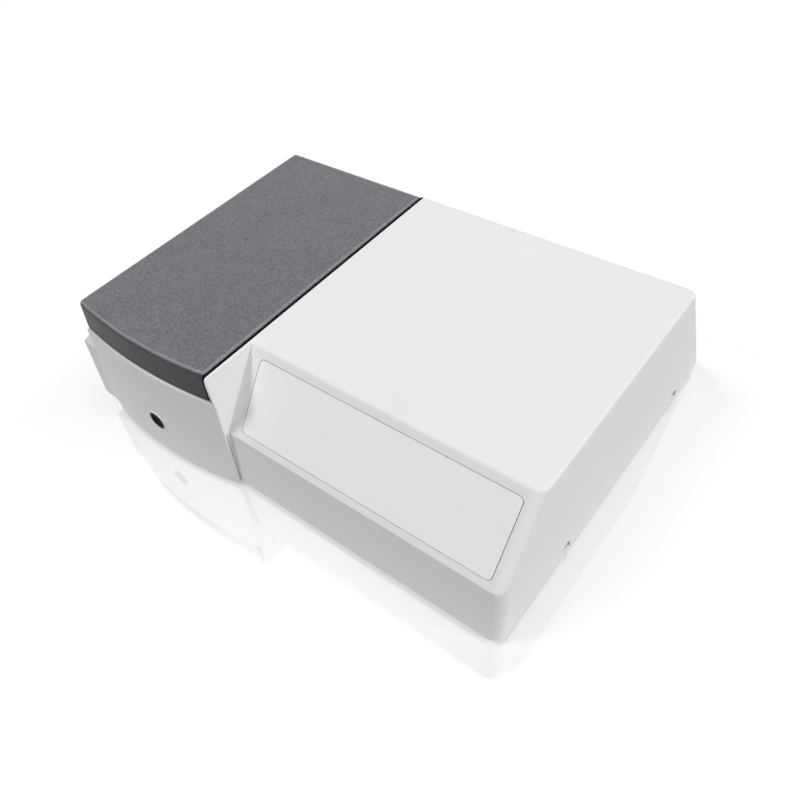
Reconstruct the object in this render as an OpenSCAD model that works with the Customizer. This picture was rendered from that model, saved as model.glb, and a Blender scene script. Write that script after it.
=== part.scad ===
// Benchtop colorimeter with a lidded sample compartment.
// Origin under the middle of the case, +Z up, the front faces -Y, millimetres.

/* [Case] */
// Width of the lid and of the curved wall below it
lid_w = 161; // [150:1:190]
// Width of the right section at its foot, cheek and gap included
main_w = 262; // [256:1:300]
// Width of the side bulge left of the lid
bulge_w = 18; // [12:1:24]
// Height of the moulded shell
shell_h = 127; // [124:1:150]
// Height of the front wall below the slanted panel
front_h = 62; // [54:1:74]
// Depth of the slanted panel, seen from above
slant_d = 46; // [36:1:56]
// Depth from the front fold to the rear top edge
top_d = 280; // [276:1:320]
// Run of the leaning rear wall from its top to its foot
rear_run = 68; // [60:1:80]
// Height of the chamfer at the foot of the rear wall
rear_foot_h = 6; // [4:0.5:8]
// How far the curved wall stands in front of the right section
bow = 12.6; // [8:0.2:16]
// Radius of the curved front wall at its foot
front_r = 360; // [320:5:500]
// Radius of the curved front wall at its rim
rim_r = 464; // [360:4:600]
// Sideways shift of the middle of the curve at the rim
rim_shift = 4.5; // [0:0.5:8]
// How far the middle of the rim stands behind the foot
rim_back = 3.6; // [1:0.1:5]
// How far the cheek stands in front of the end of the rim
cheek_proud = 1.2; // [0:0.1:2]
// Wall thickness of the moulding
wall = 3; // [2.6:0.1:4]
// Outward draft of the right wall at its foot
side_draft = 3.2; // [1:0.1:5]
// Radius of the vertical front corner on the right
corner_r = 10; // [6:1:16]
// Radius of the rear corner on the right
rear_corner_r = 9; // [6:1:14]

/* [Side bulge] */
// Height of the undercut below the bulge
under_h = 9.4; // [8:0.2:12]
// Depth of the undercut to the right of the lid edge
under_in = 6; // [4:0.5:10]
// Height of the low edge of the sloped shoulder above the shell foot
shoulder_h = 76; // [66:1:84]
// Setback of the small facet over the shoulder height
facet_run = 9; // [4:0.5:14]

/* [Lid] */
// Height of the lid with its skirt
lid_h = 29.5; // [22:0.5:34]
// Radius of the front corners of the lid
lid_corner_r = 4; // [3:0.5:10]
// Radius of the top edge of the lid
lid_edge = 4; // [3:0.5:5]
// Setback of the lid front behind the wall below
lid_set = 0.6; // [0.5:0.1:2]
// Gap between the lid and the cheek
seam_gap = 1.4; // [1:0.1:2]
// Gap between the lid skirt and the rim below
lid_gap = 0.8; // [0.5:0.1:1.5]
// Wall thickness of the lid
lid_wall = 2.8; // [2.4:0.1:3.5]

/* [Label panel] */
// Margin from the cheek to the label panel
label_left = 13; // [8:0.5:30]
// Margin from the right wall to the label panel
label_right = 13; // [12:0.5:30]
// Share of the slant below the label panel
label_low = 0.085; // [0.06:0.005:0.2]
// Share of the slant at the upper edge of the label panel
label_high = 0.88; // [0.7:0.005:0.92]
// Corner radius of the label panel
label_r = 4; // [2:0.5:8]
// Thickness of the label panel
label_t = 0.8; // [0.5:0.1:1.2]
// Groove left round the label panel
label_groove = 0.7; // [0.4:0.1:1.2]

/* [Sample compartment] */
// Inner width of the sample well
well_w = 112; // [90:1:116]
// Inner depth of the sample well, front to back
well_d = 145; // [120:1:160]
// Wall thickness of the sample well
well_t = 2.5; // [2:0.1:3]
// Height of the well floor above the shell foot
well_floor = 26; // [22:1:30]
// Light path of the glass cell
cell_path = 50; // [20:1:60]
// Width of the glass cell across the beam
cell_w = 24; // [16:1:30]
// Height of the glass cell
cell_h = 50; // [40:1:52]
// Glass thickness of the cell
cell_t = 1.8; // [1.2:0.1:2.5]
// Radius of the openings for the light beam
port_r = 9; // [6:0.5:10]

/* [Start button] */
// Radius of the hole in the curved wall
button_hole_r = 7.6; // [6:0.1:9]
// Height of the button above the shell foot
button_h = 36.5; // [30:0.5:44]
// Travel of the button
button_travel = 1.6; // [1:0.1:2.5]

/* [Feet and screws] */
// Height of the feet below the shell
foot_h = 5; // [3:0.5:10]
// Radius of the feet
foot_r = 8; // [6:0.5:10]
// Radius of the heads of the side screws
head_r = 4; // [3.5:0.1:4.4]
// Radius of the shanks of the side screws
screw_r = 2; // [1.5:0.1:2.4]
// Height of the side screws above the shell foot
screw_h = 5; // [4.6:0.1:5.4]
// Distance of the front side screw from the front fold
screw_front = 96; // [80:1:130]
// Distance of the rear side screw from the front fold
screw_rear = 290; // [240:1:300]

/* [Optics] */
// Radius of the filter wheel
wheel_r = 40; // [38:0.5:42]
// Number of places in the filter wheel
filter_count = 6; // [4:1:7]
// Radius of a colour filter
filter_r = 8.5; // [6:0.5:9]
// Shift of the wheel axis from the beam, backwards and upwards
wheel_shift = 22; // [21:0.5:23]
// Room between the filter wheel and the top wall
wheel_room = 5; // [4:0.5:8]
// Thickness of the optical bench
bench_t = 5; // [4:0.5:6]

/* [Rear panel] */
// Width of the rear panel
panel_w = 196; // [190:1:210]
// Height of the rear panel along the slope
panel_h = 72; // [66:1:76]
// Height of the panel middle along the slope, from the chamfer
panel_up = 64; // [60:1:70]
// Thickness of the rear panel
panel_t = 1.2; // [0.8:0.1:1.5]
// Size of the cooling fan
fan_w = 50; // [40:1:54]

/* [Hidden] */
$fn = 64;

// Clearances and small overlaps
slip = 0.05;
fit = 0.3;
cut = 1;
seat = 0.3;
slice_t = 0.02;

// Widths, from left to right
total_w = bulge_w + lid_w + main_w;
left_x = -total_w / 2;
lid_x0 = left_x + bulge_w;
lid_x1 = lid_x0 + lid_w - seam_gap;
lid_mid = lid_x0 + lid_w / 2;
cheek_x0 = lid_x0 + lid_w;
cheek_x1 = cheek_x0 + wall;
right_x = total_w / 2;
right_top_x = right_x - side_draft;

// Slope of the front walls, as run over rise
front_slope = 0.031;

// Heights, from the bench up
base_z = foot_h;
fold_z = base_z + front_h;
top_z = base_z + shell_h;
skirt_z = top_z - lid_h;
rim_z = skirt_z - lid_gap;
beam_z = top_z - wall - wheel_room - wheel_r - wheel_shift;

// Depths, from front to back
front_draft = front_slope * front_h;
total_d = bow + front_draft + top_d + rear_run;
front_y = -total_d / 2;
main_y = front_y + bow;
fold_y = main_y + front_draft;
slant_y = fold_y + slant_d;
rear_top_y = fold_y + top_d;
rear_y = total_d / 2;
rear_foot_y = rear_y - 0.6 * rear_foot_h;
lean = atan2(rear_run, shell_h - rear_foot_h);

function rear_at(z) = rear_top_y + (top_z - z) * tan(lean);
function unit(v) = v / norm(v);

// Moves each edge of a polygon to its left by d
function inset(p, d) = [for (i = [0 : len(p) - 1])
    let (a = p[(i + len(p) - 1) % len(p)], b = p[i], c = p[(i + 1) % len(p)],
         u = unit(b - a), v = unit(c - b), m = [-u[1], u[0]], n = [-v[1], v[0]])
    b + d * (m + n) / (1 + m * n)];

function arc_points(c, r, a0, a1, n) =
    [for (k = [0 : n]) c + r * [cos(a0 + (a1 - a0) * k / n), sin(a0 + (a1 - a0) * k / n)]];

// Curved front wall: straight lines from an arc at the foot to a flatter arc at the rim
rim_mid = lid_mid + rim_shift;
function foot_front(x) = front_y + front_r - sqrt(pow(front_r, 2) - pow(x - lid_mid, 2));
function rim_front(x) = front_y + rim_back + rim_r - sqrt(pow(rim_r, 2) - pow(x - rim_mid, 2));
function arc_front(x, z) = foot_front(x) + (rim_front(x) - foot_front(x)) * (z - base_z) / (rim_z - base_z);
arc_steps = 24;
arc_end_y = foot_front(lid_x0);

// Side outline of the right section, as seen from the right, front to the left
main_side = [[main_y, base_z], [rear_foot_y, base_z], [rear_y, base_z + rear_foot_h],
             [rear_top_y, top_z], [slant_y, top_z], [fold_y, fold_z]];
main_side_in = inset(main_side, wall);

// Draws a Y-Z outline and stretches it along X
module side_prism(x0, x1, points) {
    translate([x0, 0, 0]) rotate([90, 0, 90]) linear_extrude(x1 - x0) polygon(points);
}

// Draws an X-Z outline and stretches it along Y
module front_prism(y0, y1, points) {
    translate([0, y1, 0]) rotate([90, 0, 0]) linear_extrude(y1 - y0) polygon(points);
}

module box(low, high) {
    translate(low) cube(high - low);
}

// Cylinder along X from x0, at y and z
module rod_x(x0, y, z, r, h) {
    translate([x0, y, z]) rotate([0, 90, 0]) cylinder(r = r, h = h);
}

// Cylinder along Y from y0, at x and z
module rod_y(x, y0, z, r, h) {
    translate([x, y0, z]) rotate([-90, 0, 0]) cylinder(r = r, h = h);
}

module post(x, y, z, r, h) {
    translate([x, y, z]) cylinder(r = r, h = h);
}

module round_rect(w, d, r) {
    square([w - 2 * r, d], center = true);
    square([w, d - 2 * r], center = true);
    for (sx = [-1, 1], sy = [-1, 1])
        translate([sx * (w / 2 - r), sy * (d / 2 - r)]) circle(r);
}

// Frame on the rear wall: X to the left of a viewer behind, Y up the slope, Z outwards
module on_rear(x, z) {
    translate([x, rear_at(z), z]) rotate([lean - 90, 0, 0]) rotate([0, 0, 180]) children();
}

// Frame on the slanted panel: X to the right, Y up the slope, Z outwards
slant_len = norm([slant_d, shell_h - front_h]);
slant_a = atan2(shell_h - front_h, slant_d);
module on_slant() {
    translate([0, fold_y, fold_z]) rotate([slant_a, 0, 0]) children();
}

// Cover

edge_r = 3;
disc_fn = 48;
function right_at(z) = right_x - side_draft * (z - base_z) / shell_h;

// Thin disc that rounds the corner of the right section at one height
module corner_disc(r, y, z, in = 0) {
    translate([right_at(z) - r, y, z > base_z ? z - slice_t : z]) cylinder(r = r - in, h = slice_t,
        $fn = disc_fn);
}

module main_outer() {
    hull() {
        side_prism(cheek_x0, cheek_x0 + cut, main_side);
        corner_disc(corner_r, main_y + corner_r, base_z);
        corner_disc(corner_r, fold_y + corner_r, fold_z);
        corner_disc(corner_r, slant_y - edge_r / tan(slant_a) + corner_r, top_z - edge_r);
        corner_disc(corner_r, slant_y + corner_r - edge_r, top_z, edge_r);
        corner_disc(rear_corner_r, rear_top_y - rear_corner_r, top_z, edge_r);
        corner_disc(rear_corner_r, rear_at(top_z - edge_r) - rear_corner_r, top_z - edge_r);
        corner_disc(rear_corner_r, rear_y - rear_corner_r, base_z + rear_foot_h);
        corner_disc(rear_corner_r, rear_foot_y - rear_corner_r, base_z);
    }
}

module main_inner() {
    intersection() {
        side_prism(cheek_x1, right_x, concat([[main_side_in[0][0], base_z - cut], [main_side_in[1][0],
            base_z - cut]],
                   [for (i = [2 : 5]) main_side_in[i]]));
        front_prism(front_y, rear_y, [[cheek_x1, base_z - cut], [right_x - wall, base_z - cut],
                    [right_top_x - wall, top_z], [cheek_x1, top_z]]);
        translate([cheek_x1 - corner_r, main_y + wall, base_z - cut]) linear_extrude(shell_h + 2 * cut)
            translate([(right_x - cheek_x1 + corner_r - wall) / 2, total_d / 2])
                round_rect(right_x - cheek_x1 + corner_r - wall, total_d, corner_r - wall);
    }
}

// Cheek that closes the right section against the lid
module cheek() {
    rim_end = rim_front(cheek_x0);
    side_prism(cheek_x0, cheek_x1, [[foot_front(cheek_x0), base_z], [rear_foot_y, base_z],
               [rear_y, base_z + rear_foot_h], [rear_top_y, top_z], [rim_end + lid_edge, top_z],
               [rim_end - cheek_proud + edge_r / 2, top_z - edge_r / 2], [rim_end - cheek_proud,
                   top_z - lid_edge],
               [rim_end - cheek_proud * 0.7, rim_z + 2 * lid_edge], [rim_end, rim_z]]);
}

// Outline of the room behind the curved wall at height z
function wall_outline(z, in) =
    let (x0 = lid_x0 - cut, x1 = cheek_x1 + cut, step = (x1 - x0) / arc_steps)
    concat([for (k = [0 : arc_steps]) [x0 + k * step, arc_front(x0 + k * step, z) + in]],
           [[x1, rear_y + cut], [x0, rear_y + cut]]);

// Slice of that room with its upper face at z
module wall_slice(z, in) {
    translate([0, 0, z - slice_t]) linear_extrude(slice_t) polygon(wall_outline(z, in));
}

// Edge of the rear wall below the rim, from the chamfer up
function rear_edge(in) = [[rear_y - in / cos(lean), base_z + rear_foot_h], [rear_at(rim_z)
    - in / cos(lean), rim_z]];

// Left section under the lid, with the undercut at its foot; in = wall gives the hollow
module left_block(in) {
    bottom = in > 0 ? base_z - cut : base_z;
    top = rim_z - in;
    side = in > 0 ? cheek_x0 : cheek_x1;
    intersection() {
        front_prism(front_y, rear_y, [[lid_x0 + under_in + in, bottom], [side, bottom], [side, top],
                    [lid_x0 + in, top], [lid_x0 + in, base_z + under_h + in],
                    [lid_x0 + under_in + in, base_z + under_h + in]]);
        hull() {
            wall_slice(top, in);
            wall_slice(bottom + slice_t, in);
        }
        side_prism(left_x, cheek_x1 + cut, concat([[front_y, bottom], [rear_foot_y - in, bottom]],
            rear_edge(in),
                   [[front_y, rim_z]]));
    }
}

// Side bulge with its sloped shoulder and front facet
module bulge(in) {
    low = base_z + under_h + in;
    soft = 4;
    thin = 0.4;
    front = arc_end_y + in;
    top = rim_z - in * (1 + 1.5 * thin);
    overlap = in > 0 ? 2 * wall : 0;
    intersection() {
        front_prism(front_y, rear_y, [[lid_x0 + overlap, low], [lid_x0 + overlap, top], [lid_x0, top],
                    [left_x + in, base_z + shoulder_h - in * thin], [left_x + in, low + soft],
                        [left_x + in + soft, low]]);
        side_prism(left_x, lid_x0 + overlap, concat([[front, base_z], [rear_foot_y - in, base_z]],
            rear_edge(in),
                   [[front + facet_run, rim_z], [front + front_slope * shoulder_h, base_z + shoulder_h]]));
    }
}

// Half-round notches for the side screws
screw_ys = [fold_y + screw_front, fold_y + screw_rear];
notch_r = head_r + 1.2;
notch_skin = 0.4;
module notch(x, y) {
    rod_x(x, y, base_z + screw_h, notch_r, 2 * wall + side_draft);
    box([x, y - notch_r, base_z - cut], [x + 2 * wall + side_draft, y + notch_r, base_z + screw_h]);
}

// Rear panel window, in the rear frame
panel_x = (cheek_x1 + right_x - wall - side_draft) / 2;
panel_z = base_z + rear_foot_h + panel_up * cos(lean);
panel_lap = 7;
panel_holes = [for (sx = [-1, 1], sy = [-1, 1]) [sx * (panel_w / 2 - panel_lap / 2),
    sy * (panel_h / 2 - panel_lap / 2)]];
small_r = 1.5;

module cover() {
    color([0.93, 0.93, 0.91]) difference() {
        union() {
            main_outer();
            cheek();
            left_block(0);
            bulge(0);
        }
        main_inner();
        left_block(wall);
        bulge(wall);
        // Way through from the left section to the right one, below the rim
        side_prism(cheek_x0 - cut, cheek_x1 + cut, [[main_side_in[0][0], base_z - cut],
                   [main_side_in[1][0], base_z - cut], [main_side_in[2][0], base_z + rear_foot_h],
                   [rear_at(rim_z - wall) - wall / cos(lean), rim_z - wall],
                   [main_side_in[5][0] + slant_d, rim_z - wall], main_side_in[5]]);
        // Opening for the sample well
        translate([well_x, well_y, rim_z - wall - cut]) linear_extrude(wall + 2 * cut)
            round_rect(well_w + 2 * well_t + 2 * fit, well_d + 2 * well_t + 2 * fit, well_corner_r);
        // Recess for the label panel
        on_slant() translate([label_x, label_y, -label_t]) linear_extrude(label_t + cut)
            round_rect(label_w + 2 * label_groove, label_h + 2 * label_groove, label_r + label_groove);
        rod_y(lid_mid, front_y - cut, base_z + button_h, button_hole_r, 5 * wall);
        for (y = screw_ys) {
            notch(right_x - side_draft - wall - notch_skin, y);
            notch(lid_x0 + under_in - wall, y);
        }
        // Window and screw holes for the rear panel
        on_rear(panel_x, panel_z) {
            box([-panel_w / 2 + panel_lap, -panel_h / 2 + panel_lap, -3 * wall],
                [panel_w / 2 - panel_lap, panel_h / 2 - panel_lap, wall]);
            for (p = panel_holes) translate([p[0], p[1], -2 * wall]) cylinder(r = small_r + slip,
                h = 3 * wall);
        }
        for (x = hinge_xs, s = [-1, 1]) on_rear(x, hinge_z)
            translate([s * leaf_screw, -leaf_h / 2 - barrel_r / 2, -2 * wall])
                cylinder(r = small_r + slip, h = 3 * wall);
    }
}

// Label panel

label_x0 = cheek_x1 + label_left;
label_x1 = right_at(fold_z) - label_right;
label_w = label_x1 - label_x0;
label_x = (label_x0 + label_x1) / 2;
label_h = slant_len * (label_high - label_low);
label_y = slant_len * (label_high + label_low) / 2;

module label_panel() {
    color([0.95, 0.95, 0.94]) on_slant() translate([label_x, label_y, -label_t])
        linear_extrude(label_t) round_rect(label_w, label_h, label_r);
}

// Base pan, feet and side screws

pan_t = 2;
pan_z = base_z + 1;
pan_x0 = lid_x0 + under_in + wall + fit;
pan_x1 = right_at(base_z + under_h) - wall - fit;
pan_front = main_y + wall + fit;
pan_left_front = arc_end_y + wall;
pan_rear = rear_foot_y - wall - 3 * fit;
flange_h = 14;
left_flange_h = under_h - pan_t;
foot_in = 26;
foot_xs = [pan_x0 + foot_in, pan_x1 - foot_in];
foot_ys = [pan_front + foot_in, pan_rear - foot_in];
stem_r = 2.5;
foot_taper = 1;
plug_h = 2;
screw_l = 9;

// Floor of the pan: the curved part under the lid and the straight part beside it
module pan_outline() {
    intersection() {
        translate([pan_x0, front_y]) square([cheek_x0 - fit - pan_x0, pan_rear - front_y]);
        polygon(wall_outline(base_z, wall + 2 * fit));
    }
    translate([cheek_x0 - fit - cut, pan_front]) square([pan_x1 - corner_r - cheek_x0 + fit + cut,
        pan_rear - pan_front]);
    translate([pan_x1 - corner_r - cut, pan_front + corner_r])
        square([corner_r + cut, pan_rear - rear_corner_r - pan_front - corner_r]);
    translate([pan_x1 - corner_r, pan_front + corner_r]) circle(corner_r);
}

module base_pan() {
    color([0.35, 0.36, 0.38]) difference() {
        union() {
            translate([0, 0, pan_z]) linear_extrude(pan_t) pan_outline();
            box([pan_x1 - pan_t, pan_front + corner_r, pan_z], [pan_x1, pan_rear - corner_r,
                pan_z + flange_h]);
            box([pan_x0, pan_left_front + corner_r, pan_z], [pan_x0 + pan_t, pan_rear - corner_r,
                pan_z + left_flange_h]);
        }
        for (x = foot_xs, y = foot_ys) post(x, y, pan_z - cut, stem_r + slip, pan_t + 2 * cut);
        for (y = screw_ys) {
            rod_x(pan_x1 - pan_t - cut, y, base_z + screw_h, screw_r + slip, pan_t + 2 * cut);
            rod_x(pan_x0 - cut, y, base_z + screw_h, screw_r + slip, pan_t + 2 * cut);
        }
    }
}

module feet() {
    color([0.12, 0.12, 0.13]) for (x = foot_xs, y = foot_ys) {
        translate([x, y, 0]) cylinder(r1 = foot_r - foot_taper, r2 = foot_r, h = pan_z);
        post(x, y, pan_z, stem_r, pan_t);
        translate([x, y, pan_z + pan_t]) cylinder(r1 = stem_r + foot_taper, r2 = stem_r, h = plug_h);
    }
}

head_h = 2.6;
slot_w = 0.9;
slot_d = 1.4;
head_taper = 0.72;
slot_share = 0.55;

// Pan head screw that points along +X, with a cross recess in its head
module pan_screw(r, shank, length) {
    difference() {
        union() {
            rod_x(0, 0, 0, shank, length);
            rotate([0, -90, 0]) cylinder(r1 = r, r2 = r * head_taper, h = head_h);
        }
        for (a = [45, 135]) rotate([a, 0, 0])
            box([-head_h - cut, -slot_w / 2, -r * slot_share], [-head_h + slot_d, slot_w / 2,
                r * slot_share]);
    }
}

module cover_screws() {
    color([0.8, 0.8, 0.82]) for (y = screw_ys) {
        translate([pan_x1, y, base_z + screw_h]) mirror([1, 0, 0]) pan_screw(head_r, screw_r, screw_l);
        translate([pan_x0, y, base_z + screw_h]) pan_screw(head_r, screw_r, screw_l);
    }
}

// Lid

// Middle of the lid's front curve at height z
function lid_front(z) = front_y + rim_back + lid_set + front_slope * (z - rim_z);

// Angle of the front corner whose centre stands dx beside the middle of the curve
function corner_a(dx) = asin(dx / (rim_r - lid_corner_r));
function lid_outline(z, in) =
    let (rc = lid_corner_r, far = lid_front(z) + rim_r, back = rear_at(z) - in / cos(lean),
         left_a = corner_a(rim_mid - lid_x0 - rc), right_a = corner_a(lid_x1 - rc - rim_mid),
         left_y = far - (rim_r - rc) * cos(left_a), right_y = far - (rim_r - rc) * cos(right_a))
    concat([[lid_x0 + in, back]],
           in < rc ? arc_points([lid_x0 + rc, left_y], rc - in, 180, 270 - left_a, 6) : [[lid_x0 + in,
               left_y]],
           [for (k = [1 : arc_steps - 1]) let (a = -left_a + (left_a + right_a) * k / arc_steps)
               [rim_mid, far] + (rim_r - in) * [sin(a), -cos(a)]],
           in < rc ? arc_points([lid_x1 - rc, right_y], rc - in, 270 + right_a, 360, 6) : [[lid_x1 - in,
               right_y]],
           [[lid_x1 - in, back]]);

module lid_slice(z, in) {
    translate([0, 0, z]) linear_extrude(slice_t) polygon(lid_outline(z + slice_t, in));
}

inner_edge = 2;

module lid() {
    color([0.3, 0.3, 0.31]) difference() {
        hull() {
            lid_slice(skirt_z, 0);
            for (a = [0, 30, 60, 90])
                lid_slice(top_z - slice_t - lid_edge * (1 - sin(a)), lid_edge * (1 - cos(a)));
        }
        hull() {
            lid_slice(skirt_z - cut, lid_wall);
            lid_slice(top_z - lid_wall - inner_edge, lid_wall);
            lid_slice(top_z - lid_wall - slice_t, lid_wall + inner_edge);
        }
        for (x = hinge_xs, s = [-1, 1]) on_rear(x, hinge_z)
            translate([s * leaf_screw, leaf_h / 2 + barrel_r / 2, -2 * wall])
                cylinder(r = small_r + slip, h = 3 * wall);
    }
}

flange_t = 2;
flange_lap = 6;
seal_h = 4;
seal_w = 4;
liner_t = 2;
liner_z = rim_z + flange_t + fit + seal_h;
liner_post_r = 5;

module lid_liner() {
    color([0.1, 0.1, 0.11]) {
        translate([0, 0, liner_z]) linear_extrude(liner_t) polygon(lid_outline(liner_z + liner_t,
            lid_wall + 2 * fit));
        for (sx = [-1, 1], y = [well_y - well_d / 2, well_y + well_d / 2])
            post(lid_mid + sx * well_w / 2, y, liner_z + liner_t, liner_post_r,
                top_z - lid_wall - liner_z - liner_t);
    }
}

module lid_seal() {
    color([0.06, 0.06, 0.06]) translate([well_x, well_y, liner_z - seal_h]) linear_extrude(seal_h)
        difference() {
        round_rect(well_w + 2 * well_t + 2 * seal_w, well_d + 2 * well_t + 2 * seal_w,
            well_corner_r + seal_w);
        round_rect(well_w + 2 * well_t, well_d + 2 * well_t, well_corner_r);
    }
}

// Rear hinge of the lid

barrel_r = 4;
pin_r = 1.6;
leaf_w = 34;
leaf_h = 20;
leaf_t = 1.5;
leaf_screw = 11;
knuckle = 11;
hinge_z = (skirt_z + rim_z) / 2;
hinge_off = barrel_r + fit;
hinge_half = 46;
hinge_xs = [lid_mid - hinge_half, lid_mid + hinge_half];
pin_head = 0.8;
pin_head_t = 1;
knuckle_low = 0.1;

// One leaf, up the slope for side = 1 and down it for side = -1; spans lists its knuckles
module leaf(side, spans) {
    difference() {
        union() {
            box([-leaf_w / 2, side > 0 ? barrel_r + fit : -leaf_h, 0], [leaf_w / 2,
                side > 0 ? leaf_h : -barrel_r - fit, leaf_t]);
            for (s = spans) {
                box([s[0], side > 0 ? 0 : -barrel_r - 2 * fit, knuckle_low], [s[1],
                    side > 0 ? barrel_r + 2 * fit : 0, leaf_t]);
                rod_x(s[0], 0, hinge_off, barrel_r, s[1] - s[0]);
            }
        }
        rod_x(-leaf_w, 0, hinge_off, pin_r + slip, 2 * leaf_w);
        for (s = [-1, 1]) translate([s * leaf_screw, side * (leaf_h + barrel_r) / 2, -cut])
            cylinder(r = small_r + slip, h = leaf_t + 2 * cut);
    }
}

module hinge_leaves() {
    color([0.75, 0.75, 0.77]) for (x = hinge_xs) on_rear(x, hinge_z)
        leaf(-1, [[-leaf_w / 2, -leaf_w / 2 + knuckle], [leaf_w / 2 - knuckle, leaf_w / 2]]);
}

module lid_leaves() {
    color([0.7, 0.7, 0.72]) for (x = hinge_xs) on_rear(x, hinge_z)
        leaf(1, [[-leaf_w / 2 + knuckle + fit, leaf_w / 2 - knuckle - fit]]);
}

module hinge_pins() {
    color([0.6, 0.6, 0.62]) for (x = hinge_xs) on_rear(x, hinge_z) {
        rod_x(-leaf_w / 2 - pin_head_t / 2, 0, hinge_off, pin_r, leaf_w + pin_head_t);
        for (x = [leaf_w / 2, -leaf_w / 2 - pin_head_t]) rod_x(x, 0, hinge_off, pin_r + pin_head,
            pin_head_t);
    }
}

// Small screw that points along -Z, its head on the plane z = 0
small_head_r = 2.6;
small_head_h = 1.4;
small_slot_w = 0.6;
module small_screw(length) {
    translate([0, 0, -length]) cylinder(r = small_r, h = length);
    difference() {
        cylinder(r1 = small_head_r, r2 = small_head_r - small_slot_w, h = small_head_h);
        for (a = [0, 90]) rotate([0, 0, a])
            box([-small_r, -small_slot_w / 2, small_head_h / 2], [small_r, small_slot_w / 2,
                small_head_h + cut]);
    }
}

module hinge_screws() {
    color([0.8, 0.8, 0.82]) for (x = hinge_xs, s = [-1, 1]) on_rear(x, hinge_z)
        translate([s * leaf_screw, -(leaf_h + barrel_r) / 2, leaf_t]) small_screw(leaf_t + wall);
}

module lid_hinge_screws() {
    color([0.8, 0.8, 0.82]) for (x = hinge_xs, s = [-1, 1]) on_rear(x, hinge_z)
        translate([s * leaf_screw, (leaf_h + barrel_r) / 2, leaf_t]) small_screw(leaf_t + lid_wall);
}

// Sample compartment

well_corner_r = 8;
seal_room = 4.8;
well_front = 44;
beam_ahead = 4;
well_x = lid_x1 - lid_wall - seal_room - seal_w - well_t - well_w / 2;
well_y = front_y + well_front + well_d / 2 + well_t;
well_z = base_z + well_floor;
beam_y = well_y - beam_ahead;
window_lap = 2;
well_x0 = well_x - well_w / 2;
well_x1 = well_x + well_w / 2;

module sample_well() {
    color([0.09, 0.09, 0.1]) difference() {
        union() {
            translate([well_x, well_y, well_z - well_t]) linear_extrude(rim_z + flange_t - well_z + well_t)
                round_rect(well_w + 2 * well_t, well_d + 2 * well_t, well_corner_r);
            translate([well_x, well_y, rim_z]) linear_extrude(flange_t)
                round_rect(well_w + 2 * well_t + 2 * flange_lap, well_d + 2 * well_t + 2 * flange_lap,
                           well_corner_r + flange_lap);
        }
        translate([well_x, well_y, well_z]) linear_extrude(rim_z + flange_t - well_z + cut)
            round_rect(well_w, well_d, well_corner_r - well_t);
        rod_x(well_x0 - well_t - cut, beam_y, beam_z, port_r, well_t + 2 * cut);
        rod_x(well_x1 - cut, beam_y, beam_z, port_r + window_lap, well_t + 2 * cut);
    }
}

module entrance_window() {
    color([0.75, 0.85, 0.88, 0.5]) rod_x(well_x1, beam_y, beam_z, port_r + window_lap - slip, well_t);
}

holder_t = 5;
holder_wall = 6;
end_share = 0.8;
side_share = 0.3;
cell_z = well_z + holder_t;

module cell_holder() {
    half = cell_path / 2 + cell_t + fit;
    side = cell_w / 2 + fit;
    color([0.16, 0.16, 0.17]) difference() {
        union() {
            box([well_x - half - holder_wall, beam_y - side - holder_wall, well_z],
                [well_x + half + holder_wall, beam_y + side + holder_wall, cell_z]);
            for (s = [-1, 1]) {
                x = well_x + s * (half + holder_wall / 2);
                box([x - holder_wall / 2, beam_y - side - holder_wall, cell_z - seat],
                    [x + holder_wall / 2, beam_y + side + holder_wall, cell_z + cell_h * end_share]);
                y = beam_y + s * (side + holder_wall / 2);
                box([well_x - half, y - holder_wall / 2, cell_z - seat],
                    [well_x + half, y + holder_wall / 2, cell_z + cell_h * side_share]);
            }
        }
        rod_x(well_x - half - holder_wall - cut, beam_y, beam_z, port_r, 2 * (half + holder_wall + cut));
    }
}

module sample_cell() {
    color([0.8, 0.88, 0.9, 0.4]) difference() {
        box([well_x - cell_path / 2 - cell_t, beam_y - cell_w / 2, cell_z],
            [well_x + cell_path / 2 + cell_t, beam_y + cell_w / 2, cell_z + cell_h]);
        box([well_x - cell_path / 2, beam_y - cell_w / 2 + cell_t, cell_z + 2 * cell_t],
            [well_x + cell_path / 2, beam_y + cell_w / 2 - cell_t, cell_z + cell_h + cut]);
    }
}

// Detector on the left of the well

detector_w = 44;
detector_l = 22;
detector_x1 = well_x0 - well_t;
detector_x0 = detector_x1 - detector_l;
lens_t = 4;
lens_round = 24;
pcb_t = 1.6;
sensor_t = 2;

module detector_block() {
    color([0.55, 0.56, 0.58]) difference() {
        box([detector_x0, beam_y - detector_w / 2, beam_z - detector_w / 2],
            [detector_x1, beam_y + detector_w / 2, beam_z + detector_w / 2]);
        rod_x(detector_x0 - cut, beam_y, beam_z, port_r - 1, detector_l + 2 * cut);
        rod_x(detector_x1 - 2 * lens_t, beam_y, beam_z, port_r + 1, 2 * lens_t + cut);
    }
}

module detector_lens() {
    color([0.8, 0.88, 0.92, 0.5]) intersection() {
        rod_x(detector_x1 - 2 * lens_t, beam_y, beam_z, port_r + 1 - slip, lens_t);
        translate([detector_x1 - lens_t - lens_round, beam_y, beam_z]) sphere(lens_round, $fn = 96);
    }
}

module detector_board() {
    color([0.1, 0.35, 0.2]) {
        box([detector_x0 - pcb_t, beam_y - detector_w / 2, beam_z - detector_w / 2],
            [detector_x0, beam_y + detector_w / 2, beam_z + detector_w / 2]);
        rod_x(detector_x0 - seat, beam_y, beam_z, port_r - 2, sensor_t);
    }
}

// Start button in the curved wall

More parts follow.
